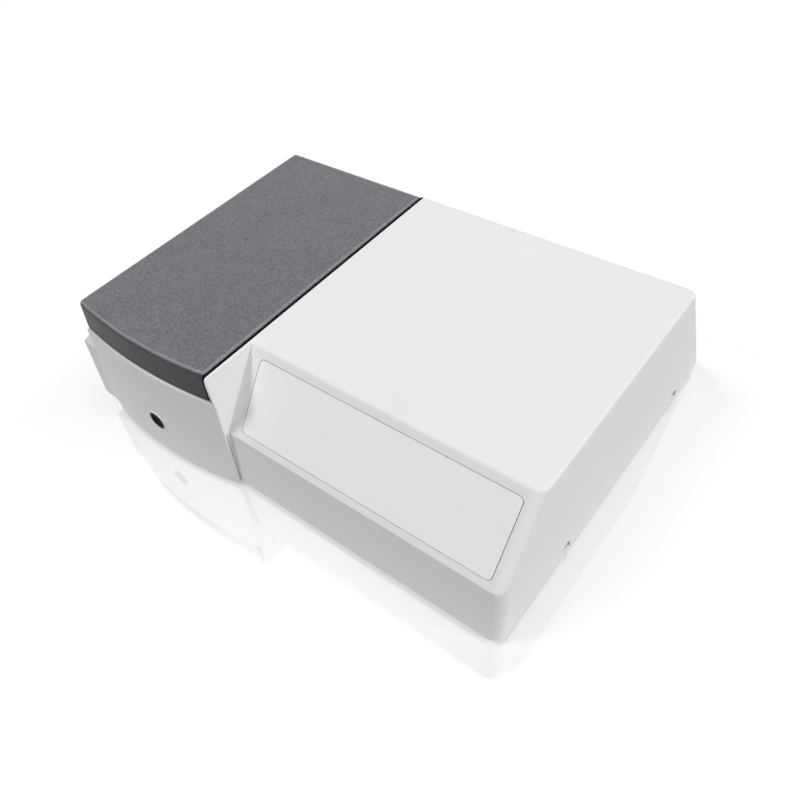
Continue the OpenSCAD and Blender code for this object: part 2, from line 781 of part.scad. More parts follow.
bezel_proud = 0.4;
bezel_y = arc_front(lid_mid, base_z + button_h) - bezel_proud;
bezel_t = 1;
bezel_l = 13;
dish_r = 14;
cap_r = button_hole_r - bezel_t - 2 * slip;
recess = 1.2;
collar_at = wall + 1.2;
collar_t = 2.2;
collar_r = 2;
cap_l = 7;
plunger_r = 2;
dish_d = 1.2;
pin_gap = 3;
pin_w = 0.4;
pin_h = 1.4;
switch_w = 13;
switch_l = 9;
pin_l = 4;
switch_y = bezel_y + bezel_l;

module button_bezel() {
    color([0.05, 0.05, 0.05]) translate([lid_mid, bezel_y, base_z + button_h]) rotate([-90, 0, 0])
        difference() {
        union() {
            cylinder(r = button_hole_r - slip / 2, h = bezel_l);
            translate([0, 0, collar_at]) cylinder(r = button_hole_r + collar_r, h = collar_t);
        }
        translate([0, 0, -cut]) cylinder(r = cap_r + slip, h = bezel_l + 2 * cut);
    }
}

module start_button() {
    color([0.08, 0.08, 0.08]) translate([lid_mid, bezel_y + recess, base_z + button_h]) rotate([-90, 0, 0])
        difference() {
            union() {
                cylinder(r = cap_r, h = cap_l);
                cylinder(r = plunger_r, h = bezel_l - recess - button_travel - fit);
            }
            translate([0, 0, dish_d - dish_r]) sphere(dish_r, $fn = 96);
        }
}

module button_switch() {
    color([0.15, 0.15, 0.16]) {
        box([lid_mid - switch_w / 2, switch_y, base_z + button_h - switch_w / 2],
            [lid_mid + switch_w / 2, switch_y + switch_l, base_z + button_h + switch_w / 2]);
        for (x = [lid_mid - pin_gap, lid_mid + pin_gap])
            box([x - pin_w, switch_y + switch_l - seat, base_z + button_h - pin_h],
                [x + pin_w, switch_y + switch_l + pin_l, base_z + button_h + pin_h]);
    }
}

// Optical bench and light source, right of the well

bench_gap = 2;
bench_l = 140;
bench_ahead = 46;
bench_behind = 66;
bench_lift = 17;
bench_x0 = well_x1 + well_t + bench_gap;
bench_x1 = bench_x0 + bench_l;
bench_y0 = beam_y - bench_ahead;
bench_y1 = beam_y + bench_behind;
bench_z = base_z + bench_lift;
bench_top = bench_z + bench_t;
bench_posts_r = 5;
bench_post_in = 9;
nut_r = 2.8;
nut_h = 2;

module optical_bench() {
    color([0.66, 0.67, 0.69]) difference() {
        box([bench_x0, bench_y0, bench_z], [bench_x1, bench_y1, bench_top]);
        for (x = [bench_x0 + bench_post_in, bench_x1 - bench_post_in], y = [bench_y0 + bench_post_in,
            bench_y1 - bench_post_in])
            post(x, y, bench_z - cut, small_r + slip, bench_t + 2 * cut);
    }
}

module bench_posts() {
    color([0.78, 0.7, 0.4]) for (x = [bench_x0 + bench_post_in, bench_x1 - bench_post_in],
                                 y = [bench_y0 + bench_post_in, bench_y1 - bench_post_in]) {
        post(x, y, pan_z + pan_t, bench_posts_r, bench_z - pan_z - pan_t);
        post(x, y, bench_z, small_r, bench_t);
        post(x, y, bench_top, nut_r, nut_h);
    }
}

tube_r = 10.5;
tube_bore = 8.6;
wheel_at = 58;
wheel_x = bench_x0 + wheel_at;
wheel_t = 4;
wheel_clear = 2;
wheel_y = beam_y + wheel_shift;
wheel_z = beam_z + wheel_shift;
pitch_r = wheel_shift * sqrt(2);
tube_x0 = well_x1 + well_t + fit;
tube_x1 = wheel_x - wheel_t / 2 - wheel_clear;
tube_foot = 8;
tube_foot_at = 10;
tube_collar = 4;
tube_collar_t = 3;
condenser_at = 24;
condenser_t = 6;
condenser_r = 20;

module collimator_tube() {
    color([0.2, 0.2, 0.21]) difference() {
        union() {
            rod_x(tube_x0, beam_y, beam_z, tube_r, tube_x1 - tube_x0);
            rod_x(tube_x0, beam_y, beam_z, tube_r + tube_collar, tube_collar_t);
            box([tube_x0 + tube_foot_at, beam_y - tube_foot, bench_top],
                [tube_x0 + tube_foot_at + tube_foot, beam_y + tube_foot, beam_z]);
        }
        rod_x(tube_x0 - cut, beam_y, beam_z, tube_bore, tube_x1 - tube_x0 + 2 * cut);
    }
}

module condenser_lens() {
    x = tube_x0 + condenser_at;
    half = condenser_t / 2;
    color([0.8, 0.88, 0.92, 0.5]) intersection() {
        rod_x(x - half, beam_y, beam_z, tube_bore - slip, condenser_t);
        translate([x + condenser_r - half, beam_y, beam_z]) sphere(condenser_r, $fn = 96);
        translate([x - condenser_r + half, beam_y, beam_z]) sphere(condenser_r, $fn = 96);
    }
}

motor_w = 28;
motor_l = 32;
shaft_r = 2.5;
motor_clear = 9;
pilot_r = 9;
shaft_in = 7;
hub_r = 6;
hub_l = 5;
motor_x1 = wheel_x - wheel_t / 2 - motor_clear;
motor_x0 = motor_x1 - motor_l;
bracket_t = 2;
bracket_foot = 20;

module filter_motor() {
    color([0.25, 0.25, 0.27]) {
        difference() {
            box([motor_x0, wheel_y - motor_w / 2, wheel_z - motor_w / 2], [motor_x1,
                wheel_y + motor_w / 2, wheel_z + motor_w / 2]);
            rod_x(motor_x1 - shaft_in - cut, wheel_y, wheel_z, shaft_r + slip, shaft_in + 2 * cut);
        }
        difference() {
            rod_x(motor_x1 - seat, wheel_y, wheel_z, pilot_r, bracket_t + seat);
            rod_x(motor_x1 - cut, wheel_y, wheel_z, shaft_r + slip, bracket_t + 2 * cut);
        }
    }
}

module motor_bracket() {
    y0 = wheel_y - motor_w / 2 + 1;
    y1 = wheel_y + motor_w / 2 + 6;
    color([0.7, 0.7, 0.72]) difference() {
        union() {
            box([motor_x1, y0, bench_top], [motor_x1 + bracket_t, y1, wheel_z + motor_w / 2]);
            box([motor_x1 - bracket_foot, wheel_y, bench_top], [motor_x1 + bracket_t, y1,
                bench_top + bracket_t]);
        }
        rod_x(motor_x1 - cut, wheel_y, wheel_z, pilot_r + slip, bracket_t + 2 * cut);
        rod_x(motor_x1 - cut, beam_y, beam_z, tube_r + fit, bracket_t + 2 * cut);
    }
}

// Angle of filter place k about the wheel axis; place 0 lies on the beam
function place_a(k) = 225 + k * 360 / filter_count;
function place_y(k) = wheel_y + pitch_r * cos(place_a(k));
function place_z(k) = wheel_z + pitch_r * sin(place_a(k));

module filter_wheel() {
    color([0.12, 0.12, 0.13]) difference() {
        union() {
            rod_x(wheel_x - wheel_t / 2, wheel_y, wheel_z, wheel_r, wheel_t);
            rod_x(wheel_x - wheel_t / 2 - hub_l, wheel_y, wheel_z, hub_r, wheel_t + hub_l);
            rod_x(motor_x1 - shaft_in, wheel_y, wheel_z, shaft_r, wheel_x - motor_x1 + shaft_in);
        }
        for (k = [0 : filter_count - 1])
            rod_x(wheel_x - wheel_t, place_y(k), place_z(k), filter_r, 2 * wheel_t);
    }
}

filter_tints = [[0.85, 0.5, 0.2], [0.3, 0.7, 0.3], [0.2, 0.35, 0.8], [0.9, 0.85, 0.5], [0.8, 0.8, 0.82],
    [0.6, 0.25, 0.3]];
filter_t = 2.4;
module colour_filters() {
    for (k = [0 : filter_count - 1]) color(filter_tints[k % len(filter_tints)])
        rod_x(wheel_x - filter_t / 2, place_y(k), place_z(k), filter_r - slip, filter_t);
}

house_gap = 6;
house_l = 56;
house_half = 30;
house_x0 = wheel_x + wheel_t / 2 + house_gap;
house_x1 = house_x0 + house_l;
house_y0 = beam_y - house_half;
house_y1 = beam_y + house_half;
house_h = 62;
house_t = 2.5;
vent_xs = [for (k = [0 : 5]) house_x0 + 8 + k * 7];
vent_w = 3;
vent_in = 10;
vent_low = 8;
vent_high = 30;

module lamp_house() {
    color([0.6, 0.61, 0.63]) difference() {
        box([house_x0, house_y0, bench_top], [house_x1, house_y1, bench_top + house_h]);
        box([house_x0 + house_t, house_y0 + house_t, bench_top - cut],
            [house_x1 - house_t, house_y1 - house_t, bench_top + house_h - house_t]);
        rod_x(house_x0 - cut, beam_y, beam_z, port_r, house_t + 2 * cut);
        for (x = vent_xs) {
            box([x, house_y0 + vent_in, bench_top + house_h - house_t - cut],
                [x + vent_w, house_y1 - vent_in, bench_top + house_h + cut]);
            box([x, house_y1 - house_t - cut, bench_top + vent_low],
                [x + vent_w, house_y1 + cut, bench_top + vent_high]);
        }
    }
}

lamp_at = 27;
lamp_x = house_x0 + lamp_at;
socket_r = 9;
socket_h = 12;
socket_half = [12, 7];
socket_foot = 4;
neck_r = 4.5;
neck_h = 6;
bulb_r = 6;
bulb_over = 8;

module lamp_socket() {
    color([0.9, 0.88, 0.82]) {
        post(lamp_x, beam_y, bench_top, socket_r, socket_h);
        box([lamp_x - socket_half[0], beam_y - socket_half[1], bench_top],
            [lamp_x + socket_half[0], beam_y + socket_half[1], bench_top + socket_foot]);
    }
}

module lamp_bulb() {
    neck_z = bench_top + socket_h;
    bulb_z = neck_z + neck_h - seat;
    color([0.9, 0.93, 0.95, 0.5]) {
        post(lamp_x, beam_y, neck_z, neck_r, neck_h);
        post(lamp_x, beam_y, bulb_z, bulb_r, beam_z + bulb_over - bulb_z);
        translate([lamp_x, beam_y, beam_z + bulb_over]) sphere(bulb_r, $fn = 64);
    }
}

module reflector() {
    r = 20;
    rim = 17;
    depth = 9;
    color([0.85, 0.85, 0.87]) translate([house_x1 - house_t, beam_y, beam_z]) rotate([0, -90, 0])
        rotate_extrude()
        intersection() {
            difference() {
                translate([0, r + 2]) circle(r + 2, $fn = 96);
                translate([0, r + 2]) circle(r, $fn = 96);
            }
            square([rim, depth]);
        }
}

module heat_glass() {
    color([0.6, 0.8, 0.75, 0.5]) rod_x(house_x0 + house_t, beam_y, beam_z, port_r + window_lap, well_t);
}

// Electronics

board_gap = 6;
board_l = 170;
board_ahead = 14;
board_lift = 14;
board_x0 = bench_x1 + board_gap;
board_x1 = right_at(fold_z) - wall - board_gap / 2;
board_y0 = main_y + wall + board_ahead;
board_y1 = board_y0 + board_l;
board_z = base_z + board_lift;
board_post_in = 6;

module board_corners() {
    for (x = [board_x0 + board_post_in, board_x1 - board_post_in], y = [board_y0 + board_post_in,
        board_y1 - board_post_in])
        translate([x, y, 0]) children();
}

module main_board() {
    color([0.08, 0.32, 0.18]) difference() {
        box([board_x0, board_y0, board_z], [board_x1, board_y1, board_z + pcb_t]);
        board_corners() translate([0, 0, board_z - cut]) cylinder(r = small_r + slip, h = pcb_t + 2 * cut);
    }
}

module board_posts() {
    color([0.8, 0.72, 0.4]) board_corners() {
        translate([0, 0, pan_z + pan_t]) cylinder(r = nut_r, h = board_z - pan_z - pan_t);
        translate([0, 0, board_z]) cylinder(r = small_r, h = pcb_t);
        translate([0, 0, board_z + pcb_t]) cylinder(r = nut_r, h = nut_h);
    }
}

// Parts on the board: [x from its middle, y from its front, width, depth, height]
chips = [[-12, 60, 24, 24, 2.4], [-22, 100, 14, 10, 3], [6, 100, 14, 10, 3], [-28, 20, 7, 30, 9], [-1,
    20, 24, 24, 3]];
cans = [[-16, 140], [-1, 140], [14, 140]];
can_r = 5;
can_h = 16;
fins = [for (k = [0 : 5]) [k * 4, 20, 2, 24, 18]];

module board_parts() {
    mid_x = (board_x0 + board_x1) / 2;
    color([0.13, 0.13, 0.14]) translate([mid_x, board_y0, board_z + pcb_t]) {
        for (p = concat(chips, fins)) translate([p[0], p[1], 0]) cube([p[2], p[3], p[4]]);
        for (p = cans) post(p[0], p[1], 0, can_r, can_h);
    }
}

supply_gap = 6;
supply_w = 112;
supply_d = 62;
supply_h = 36;
supply_x0 = cheek_x1 + supply_gap;
supply_x1 = supply_x0 + supply_w;
supply_y0 = bench_y1 + supply_gap;
supply_y1 = supply_y0 + supply_d;
grille_in = 10;
grille_pitch = [11, 16];
grille_slot = [7, 4, 2];

module power_supply() {
    top = pan_z + pan_t + supply_h;
    color([0.74, 0.75, 0.76]) difference() {
        box([supply_x0, supply_y0, pan_z + pan_t], [supply_x1, supply_y1, top]);
        for (k = [0 : 8], j = [0 : 2])
            translate([supply_x0 + grille_in + k * grille_pitch[0],
                supply_y0 + grille_in + j * grille_pitch[1],
                       top - grille_slot[2]]) cube(grille_slot + [0, 0, cut]);
    }
}

// Rear panel with its connectors; all of these are drawn in the rear frame

inlet_u = -72;
rocker_u = -38;
usb_u = -14;
serial_u = 14;
fan_u = 64;
inlet_w = 30;
inlet_h = 38;
frame_w = 19;
frame_h = 28;
usb_w = 12;
usb_h = 11;
serial_w = 17;
serial_h = 31;
rim_lap = 2;
serial_shell_w = 8.4;
serial_shell_h = 17;
grille_step = 5;
grille_w = 3;
fan_hole_r = fan_w / 2 - 3;

module panel_hole(u, w, h) {
    box([u - w / 2, -h / 2, -cut], [u + w / 2, h / 2, panel_t + cut]);
}

module rear_panel() {
    color([0.7, 0.71, 0.72]) on_rear(panel_x, panel_z) difference() {
        linear_extrude(panel_t) round_rect(panel_w, panel_h, 3);
        for (p = panel_holes) translate([p[0], p[1], -cut]) cylinder(r = small_r + slip,
            h = panel_t + 2 * cut);
        panel_hole(inlet_u, inlet_w - 2 * rim_lap, inlet_h - 2 * rim_lap);
        panel_hole(rocker_u, frame_w - 2 * rim_lap, frame_h - 2 * rim_lap);
        panel_hole(usb_u, usb_w + 2 * slip, usb_h + 2 * slip);
        panel_hole(serial_u, serial_shell_w + 2 * rim_lap, serial_shell_h + rim_lap);
        // Upright slots in front of the fan
        intersection() {
            translate([fan_u, 0, -cut]) cylinder(r = fan_hole_r, h = panel_t + 2 * cut);
            for (k = [-4 : 4]) panel_hole(fan_u + k * grille_step, grille_w, fan_w);
        }
    }
}

module panel_screws() {
    color([0.8, 0.8, 0.82]) on_rear(panel_x, panel_z) for (p = panel_holes)
        translate([p[0], p[1], panel_t]) small_screw(panel_t + wall);
}

drawer_w = 20;
drawer_h = 8;
drawer_l = 20;
drawer_v = -12;
drawer_lip = 1.5;
inlet_depth = 26;
inlet_rim = 2.5;
socket_size = [24, 16];
socket_v = 5;
socket_depth = 16;
blade = [2, 4];
blade_gap = 7;
blade_drop = 3;
fuse_half = [3, 3];
fuse_gap = 5;

module power_inlet() {
    color([0.07, 0.07, 0.08]) on_rear(panel_x, panel_z) translate([inlet_u, 0, 0]) {
        difference() {
            union() {
                translate([0, 0, panel_t]) linear_extrude(inlet_rim) round_rect(inlet_w, inlet_h, 2);
                box([-inlet_w / 2 + rim_lap + slip, -inlet_h / 2 + rim_lap + slip, -inlet_depth],
                    [inlet_w / 2 - rim_lap - slip, inlet_h / 2 - rim_lap - slip, panel_t + seat]);
            }
            translate([0, socket_v, -socket_depth]) linear_extrude(2 * socket_depth)
                round_rect(socket_size[0], socket_size[1], 3);
            box([-drawer_w / 2 - fit, drawer_v - drawer_h / 2 - fit, -drawer_l],
                [drawer_w / 2 + fit, drawer_v + drawer_h / 2 + fit, drawer_l]);
        }
        for (s = [-1, 0, 1]) translate([s * blade_gap, socket_v - (s == 0 ? blade_drop : 0), 0])
            box([-blade[0] / 2, -blade[1] / 2, -socket_depth - seat], [blade[0] / 2, blade[1] / 2, -1]);
    }
}

module fuse_drawer() {
    face = panel_t + inlet_rim;
    color([0.12, 0.12, 0.13]) on_rear(panel_x, panel_z) translate([inlet_u, drawer_v, 0]) difference() {
        union() {
            box([-drawer_w / 2, -drawer_h / 2, -drawer_l + fit], [drawer_w / 2, drawer_h / 2, face]);
            box([-fuse_half[0], -drawer_h / 2, face - seat], [fuse_half[0], drawer_h / 2,
                face + drawer_lip]);
            box([-drawer_w / 2, drawer_h / 2 - drawer_lip, face - seat], [drawer_w / 2, drawer_h / 2,
                face + drawer_lip]);
        }
        for (s = [-1, 1]) box([s * fuse_gap - fuse_half[0], -fuse_half[1], -drawer_l + 2],
                              [s * fuse_gap + fuse_half[0], drawer_h, -2]);
    }
}

rocker_r = 9.5;
rocker_w = 12.5;
rocker_a = 9;
rocker_z = panel_t - 2;
rocker_low = -4;
rocker_high = 4.6;
rocker_dip = 3.2;
frame_depth = 16;
frame_rim = 2;

module switch_frame() {
    color([0.08, 0.08, 0.09]) on_rear(panel_x, panel_z) translate([rocker_u, 0, 0]) difference() {
        union() {
            translate([0, 0, panel_t]) linear_extrude(frame_rim) round_rect(frame_w, frame_h, frame_rim);
            box([-frame_w / 2 + rim_lap + slip, -frame_h / 2 + rim_lap + slip, -frame_depth],
                [frame_w / 2 - rim_lap - slip, frame_h / 2 - rim_lap - slip, panel_t + seat]);
        }
        box([-rocker_w / 2 - 2 * slip, -rocker_r - fit, wall - frame_depth],
            [rocker_w / 2 + 2 * slip, rocker_r + fit, frame_depth]);
    }
}

// The rocker rests with its lower end pressed in
module power_rocker() {
    color([0.15, 0.15, 0.16]) on_rear(panel_x, panel_z) translate([rocker_u, 0, rocker_z])
        rotate([rocker_a, 0, 0])
        intersection() {
            rod_x(-rocker_w / 2, 0, 0, rocker_r, rocker_w);
            side_prism(-rocker_w / 2, rocker_w / 2, [[-rocker_r, rocker_low], [rocker_r, rocker_low],
                       [rocker_r, rocker_high], [0, rocker_dip], [-rocker_r, rocker_high]]);
        }
}

usb_l = 14;
usb_in = 10;
usb_wall = 1.2;
tongue = [2.8, 2];
serial_in = 10;
serial_out = 5;
shell_wall = 0.6;
stud_r = 2.6;
stud_gap = 12.5;

module usb_socket() {
    color([0.78, 0.78, 0.8]) on_rear(panel_x, panel_z) translate([usb_u, 0, 0]) {
        difference() {
            box([-usb_w / 2, -usb_h / 2, -usb_l], [usb_w / 2, usb_h / 2, panel_t + slip]);
            box([-usb_w / 2 + usb_wall, -usb_h / 2 + usb_wall, -usb_in],
                [usb_w / 2 - usb_wall, usb_h / 2 - usb_wall, panel_t + cut]);
        }
        box([-tongue[0], -tongue[1], -usb_in - seat], [tongue[0], tongue[1], -1]);
    }
}

module serial_socket() {
    color([0.72, 0.72, 0.74]) on_rear(panel_x, panel_z) translate([serial_u, 0, 0]) {
        difference() {
            union() {
                translate([0, 0, panel_t]) linear_extrude(1) round_rect(serial_w - 2 * rim_lap,
                    serial_h, 1.5);
                translate([0, 0, -serial_in]) linear_extrude(panel_t + serial_in + serial_out)
                    round_rect(serial_shell_w, serial_shell_h, 2);
            }
            translate([0, 0, panel_t]) linear_extrude(2 * serial_out)
                round_rect(serial_shell_w - 2 * shell_wall, serial_shell_h - 2 * shell_wall, 1.5);
        }
        for (s = [-1, 1]) translate([0, s * stud_gap, panel_t + 1]) difference() {
            cylinder(r = stud_r, h = serial_out - 1, $fn = 6);
            translate([0, 0, 1]) cylinder(r = stud_r / 2, h = serial_out);
        }
    }
}

fan_t = 12;
fan_hub_r = 11;
fan_arm = 1.5;
fan_plate = 2;
spindle_r = 2;
spindle_h = 4;
rotor_low = 2.4;
blades = 7;
blade_half = 5;
blade_t = 0.6;
blade_a = 35;

module fan_frame() {
    color([0.1, 0.1, 0.11]) on_rear(panel_x, panel_z) translate([fan_u, 0, -fan_t - fit]) {
        difference() {
            linear_extrude(fan_t + fit) round_rect(fan_w, fan_w, 4);
            translate([0, 0, -cut]) cylinder(r = fan_hole_r, h = fan_t + 3 * cut);
        }
        difference() {
            union() {
                cylinder(r = fan_hub_r, h = fan_plate);
                for (a = [45, 135]) rotate([0, 0, a])
                    box([-fan_hole_r - 1, -fan_arm, 0], [fan_hole_r + 1, fan_arm, fan_plate]);
            }
            translate([0, 0, -cut]) cylinder(r = spindle_r + slip, h = fan_plate + 2 * cut);
        }
    }
}

module fan_rotor() {
    color([0.14, 0.14, 0.15]) on_rear(panel_x, panel_z) translate([fan_u, 0, -fan_t]) {
        cylinder(r = spindle_r, h = spindle_h);
        translate([0, 0, rotor_low]) cylinder(r = fan_hub_r, h = fan_t - rotor_low - 1);
        for (k = [0 : blades - 1]) rotate([0, 0, k * 360 / blades])
            translate([fan_hub_r - 1, 0, fan_t / 2 + blade_t]) rotate([blade_a, 0, 0])
                box([0, -blade_half, -blade_t], [fan_hole_r - fan_hub_r, blade_half, blade_t]);
    }
}

// Leads, laid on the pan and between the pieces that they join

lead_r = 1.5;

// One lead through a list of points, with round elbows
module lead(points, r) {
    for (k = [0 : len(points) - 2]) {
        a = points[k];
        b = points[k + 1];
        d = b - a;
        h = norm(d);
        translate(a) rotate([0, acos(d[2] / h), atan2(d[1], d[0])]) cylinder(r = r, h = h, $fn = 16);
        if (k > 0) translate(a) sphere(r, $fn = 16);
    }
}

module wiring() {
    floor_z = pan_z + pan_t + lead_r;
    lead_in = 14;
    lead_pitch = 8;
    front_lane = well_y - well_d / 2 - well_t - 2 * lead_r;
    supply_lane = supply_y0 + supply_d / 3;
    beam_lane = bench_y0 - 3 * lead_r;
    under_well = detector_x0 + 4 * lead_r;
    beside_well = bench_x0 - 5 * lead_r;
    plug_in = 20;
    ends = [for (k = [0 : 2]) board_x0 + lead_in + k * lead_pitch];
    color([0.75, 0.15, 0.12]) {
        // Supply to main board
        lead([[supply_x1, supply_lane, floor_z], [ends[1], supply_lane, floor_z],
              [ends[1], board_y1 - plug_in, floor_z], [ends[1], board_y1 - plug_in, board_z]], lead_r);
        // Button to main board, along the front
        lead([[lid_mid + pin_gap, switch_y + switch_l + pin_l, base_z + button_h],
              [lid_mid + pin_gap, front_lane, base_z + button_h], [lid_mid + pin_gap, front_lane, floor_z],
              [ends[2], front_lane, floor_z], [ends[2], front_lane, board_z]], lead_r);
        // Detector to main board, under the well
        lead([[under_well, beam_y, beam_z - detector_w / 2], [under_well, beam_y, floor_z],
              [beside_well, beam_y, floor_z], [beside_well, beam_lane, floor_z], [ends[0], beam_lane,
                  floor_z],
              [ends[0], beam_lane, board_z]], lead_r);
    }
}

cover();
label_panel();
cover_screws();
base_pan();
feet();
lid();
lid_liner();
lid_seal();
hinge_leaves();
lid_leaves();
hinge_pins();
hinge_screws();
lid_hinge_screws();
sample_well();
entrance_window();
cell_holder();
sample_cell();
detector_block();
detector_lens();
detector_board();
button_bezel();
start_button();
button_switch();
optical_bench();
bench_posts();
lamp_house();
lamp_socket();
lamp_bulb();
reflector();
heat_glass();
collimator_tube();
condenser_lens();
motor_bracket();
filter_motor();
filter_wheel();
colour_filters();
main_board();
board_parts();
board_posts();
power_supply();
rear_panel();
panel_screws();
power_inlet();
fuse_drawer();
switch_frame();
power_rocker();
usb_socket();
serial_socket();
fan_frame();
fan_rotor();
wiring();
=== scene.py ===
# %% [markdown]
# A benchtop colorimeter: a white moulded case with a dark grey lid over its sample compartment.
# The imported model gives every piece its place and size. This script dresses it: it rebuilds the
# case and the lid with rounded edges, gives each piece a finish, and sets the light and the camera.

import math

import bmesh
import bpy
from mathutils import Matrix, Vector


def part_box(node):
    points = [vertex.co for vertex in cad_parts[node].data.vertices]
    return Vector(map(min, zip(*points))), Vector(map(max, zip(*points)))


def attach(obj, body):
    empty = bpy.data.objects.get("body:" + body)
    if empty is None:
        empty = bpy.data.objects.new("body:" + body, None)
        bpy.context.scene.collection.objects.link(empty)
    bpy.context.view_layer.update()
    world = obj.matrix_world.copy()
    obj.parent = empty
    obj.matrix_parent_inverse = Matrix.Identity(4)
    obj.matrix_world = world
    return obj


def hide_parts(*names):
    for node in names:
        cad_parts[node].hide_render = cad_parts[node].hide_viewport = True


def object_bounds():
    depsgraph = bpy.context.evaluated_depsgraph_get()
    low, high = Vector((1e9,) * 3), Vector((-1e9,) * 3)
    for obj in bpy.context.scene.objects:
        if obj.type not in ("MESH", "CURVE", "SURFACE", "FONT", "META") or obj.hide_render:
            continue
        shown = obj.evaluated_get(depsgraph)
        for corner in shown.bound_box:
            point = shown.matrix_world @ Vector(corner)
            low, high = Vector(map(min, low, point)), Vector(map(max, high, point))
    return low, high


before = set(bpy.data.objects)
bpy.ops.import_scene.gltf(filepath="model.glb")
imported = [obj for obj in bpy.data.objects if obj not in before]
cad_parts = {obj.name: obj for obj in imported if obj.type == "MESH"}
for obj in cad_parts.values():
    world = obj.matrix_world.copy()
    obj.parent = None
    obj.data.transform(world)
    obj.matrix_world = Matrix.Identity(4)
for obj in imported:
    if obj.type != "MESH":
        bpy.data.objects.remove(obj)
cad_low, cad_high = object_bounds()
MM = 0.001
print("case of", [round(s / MM) for s in cad_high - cad_low], "mm with", len(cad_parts), "nodes")

# %% [markdown]
# The camera stands in front of the case, to its right and above it. A camera in Blender looks
# along its own -Z, so its axes are worked out from the three angles of the view: the heading, the
# tilt down and a small roll. Setting the axes directly is safer than turning it step by step.

# %% Camera
scene = bpy.context.scene
heading, tilt, roll = (math.radians(a) for a in (44.49, 47.92, -7.64))
ahead = Vector((-math.sin(heading) * math.cos(tilt), math.cos(heading) * math.cos(tilt), -math.sin(tilt)))
level = ahead.cross(Vector((0, 0, 1))).normalized()
right = math.cos(roll) * level + math.sin(roll) * level.cross(ahead)
upward = right.cross(ahead)

lens = bpy.data.cameras.new("view_camera")
lens.sensor_width = 36
lens.lens = 34.07
lens.shift_x, lens.shift_y = 0.0593, 0.0263
camera = bpy.data.objects.new("view_camera", lens)
camera.matrix_world = Matrix.Translation(Vector((325.4, -392.4, 521.5)) * MM) @ Matrix(
    (right, upward, -ahead)).transposed().to_4x4()
scene.collection.objects.link(camera)
scene.camera = camera
print("camera", round((camera.location / MM).length), "mm from the middle of the case")

# %% [markdown]
# Colours are written as the sRGB hex values that a paint chart gives. Cycles works with linear
# light, so one function turns them. Another adds a shader node with its settings and its links:
# a name that is a socket sets that socket, or links it if the value comes from another node.

# %% Colour and node helpers
def linear(code):
    channels = [int(code[i:i + 2], 16) / 255 for i in (1, 3, 5)]
    return [c / 12.92 if c <= 0.04045 else ((c + 0.055) / 1.055) ** 2.4 for c in channels] + [1]


def put(tree, kind, settings=(), links=()):
    node = tree.nodes.new("ShaderNode" + kind)
    for name, value in dict(settings).items():
        if isinstance(name, str) and hasattr(node, name):
            setattr(node, name, value)
        else:
            node.inputs[name].default_value = value
    for name, source in dict(links).items():
        tree.links.new(source, node.inputs[name])
    return node


def blank(name):
    material = bpy.data.materials.new(name)
    material.use_nodes = True
    material.node_tree.nodes.clear()
    return material, material.node_tree


print("middle grey #808080 in linear light:", round(linear("#808080")[0], 3))

# %% [markdown]
# The studio is a white table under soft light. The world fills in from all round at a low level,
# and where the camera, a reflection or glass sees it, it is plain white. That could also be done
# with a painted backdrop, but Light Path rays keep the white from lighting the case.

# %% World
world = bpy.data.worlds.new("soft_room")
scene.world = world
world.use_nodes = True
room = world.node_tree
room.nodes.clear()
FILL = 0.315
path = put(room, "LightPath")
seen = put(room, "Math", {"operation": "MAXIMUM"}, {0: path.outputs["Is Camera Ray"],
                                                   1: path.outputs["Is Glossy Ray"]})
seen = put(room, "Math", {"operation": "MAXIMUM"}, {0: seen.outputs[0],
                                                   1: path.outputs["Is Transmission Ray"]})
level_of = put(room, "MapRange", {"To Min": FILL, "To Max": 1.0}, {"Value": seen.outputs[0]})
sky = put(room, "Background", {"Color": linear("#FFFFFF")}, {"Strength": level_of.outputs[0]})
put(room, "OutputWorld", (), {"Surface": sky.outputs[0]})
print("fill from the world:", FILL)

# %% [markdown]
# Two large lamps do most of the work: one high on the right, a little blue as daylight is, and one
# in front on the left. A sun lamp with a wide angle was chosen over an area lamp, because its light
# is as strong at one end of the case as at the other.

# %% Lamps
def soft_sun(name, towards, strength, spread, colour=(1.0, 1.0, 1.0)):
    lamp = bpy.data.lights.new(name, "SUN")
    lamp.energy = strength
    lamp.color = colour
    lamp.angle = math.radians(spread)
    holder = bpy.data.objects.new(name, lamp)
    holder.matrix_world = Vector(towards).to_track_quat("Z", "Y").to_matrix().to_4x4()
    scene.collection.objects.link(holder)
    return holder


soft_sun("lamp_right", (0.794, 0.11, 0.598), 1.61, 24, (0.948, 0.944, 1.0))
soft_sun("lamp_front", (-0.385, -0.351, 0.854), 1.31, 14)

# %% [markdown]
# The table is a plane. It shows a faint mirror image of the case that fades within a hand's
# width, so the share of gloss falls with the distance from the case's footprint. Farther out the
# table turns to the plain white of the backdrop. Light that bounces off it is kept lower than
# what the camera sees, so that the walls of the case stay darker than its top. The distances in
# the two map ranges are metres from the edge of the footprint.

# %% Table top
REACH = 3.0
table = bpy.data.meshes.new("table_top")
table.from_pydata([(x * REACH, y * REACH, 0) for x, y in ((-1, -1), (1, -1), (1, 1), (-1, 1))], [],
                  [(0, 1, 2, 3)])
table_top = bpy.data.objects.new("table_top", table)
scene.collection.objects.link(table_top)
print("table top of", 2 * REACH, "m")

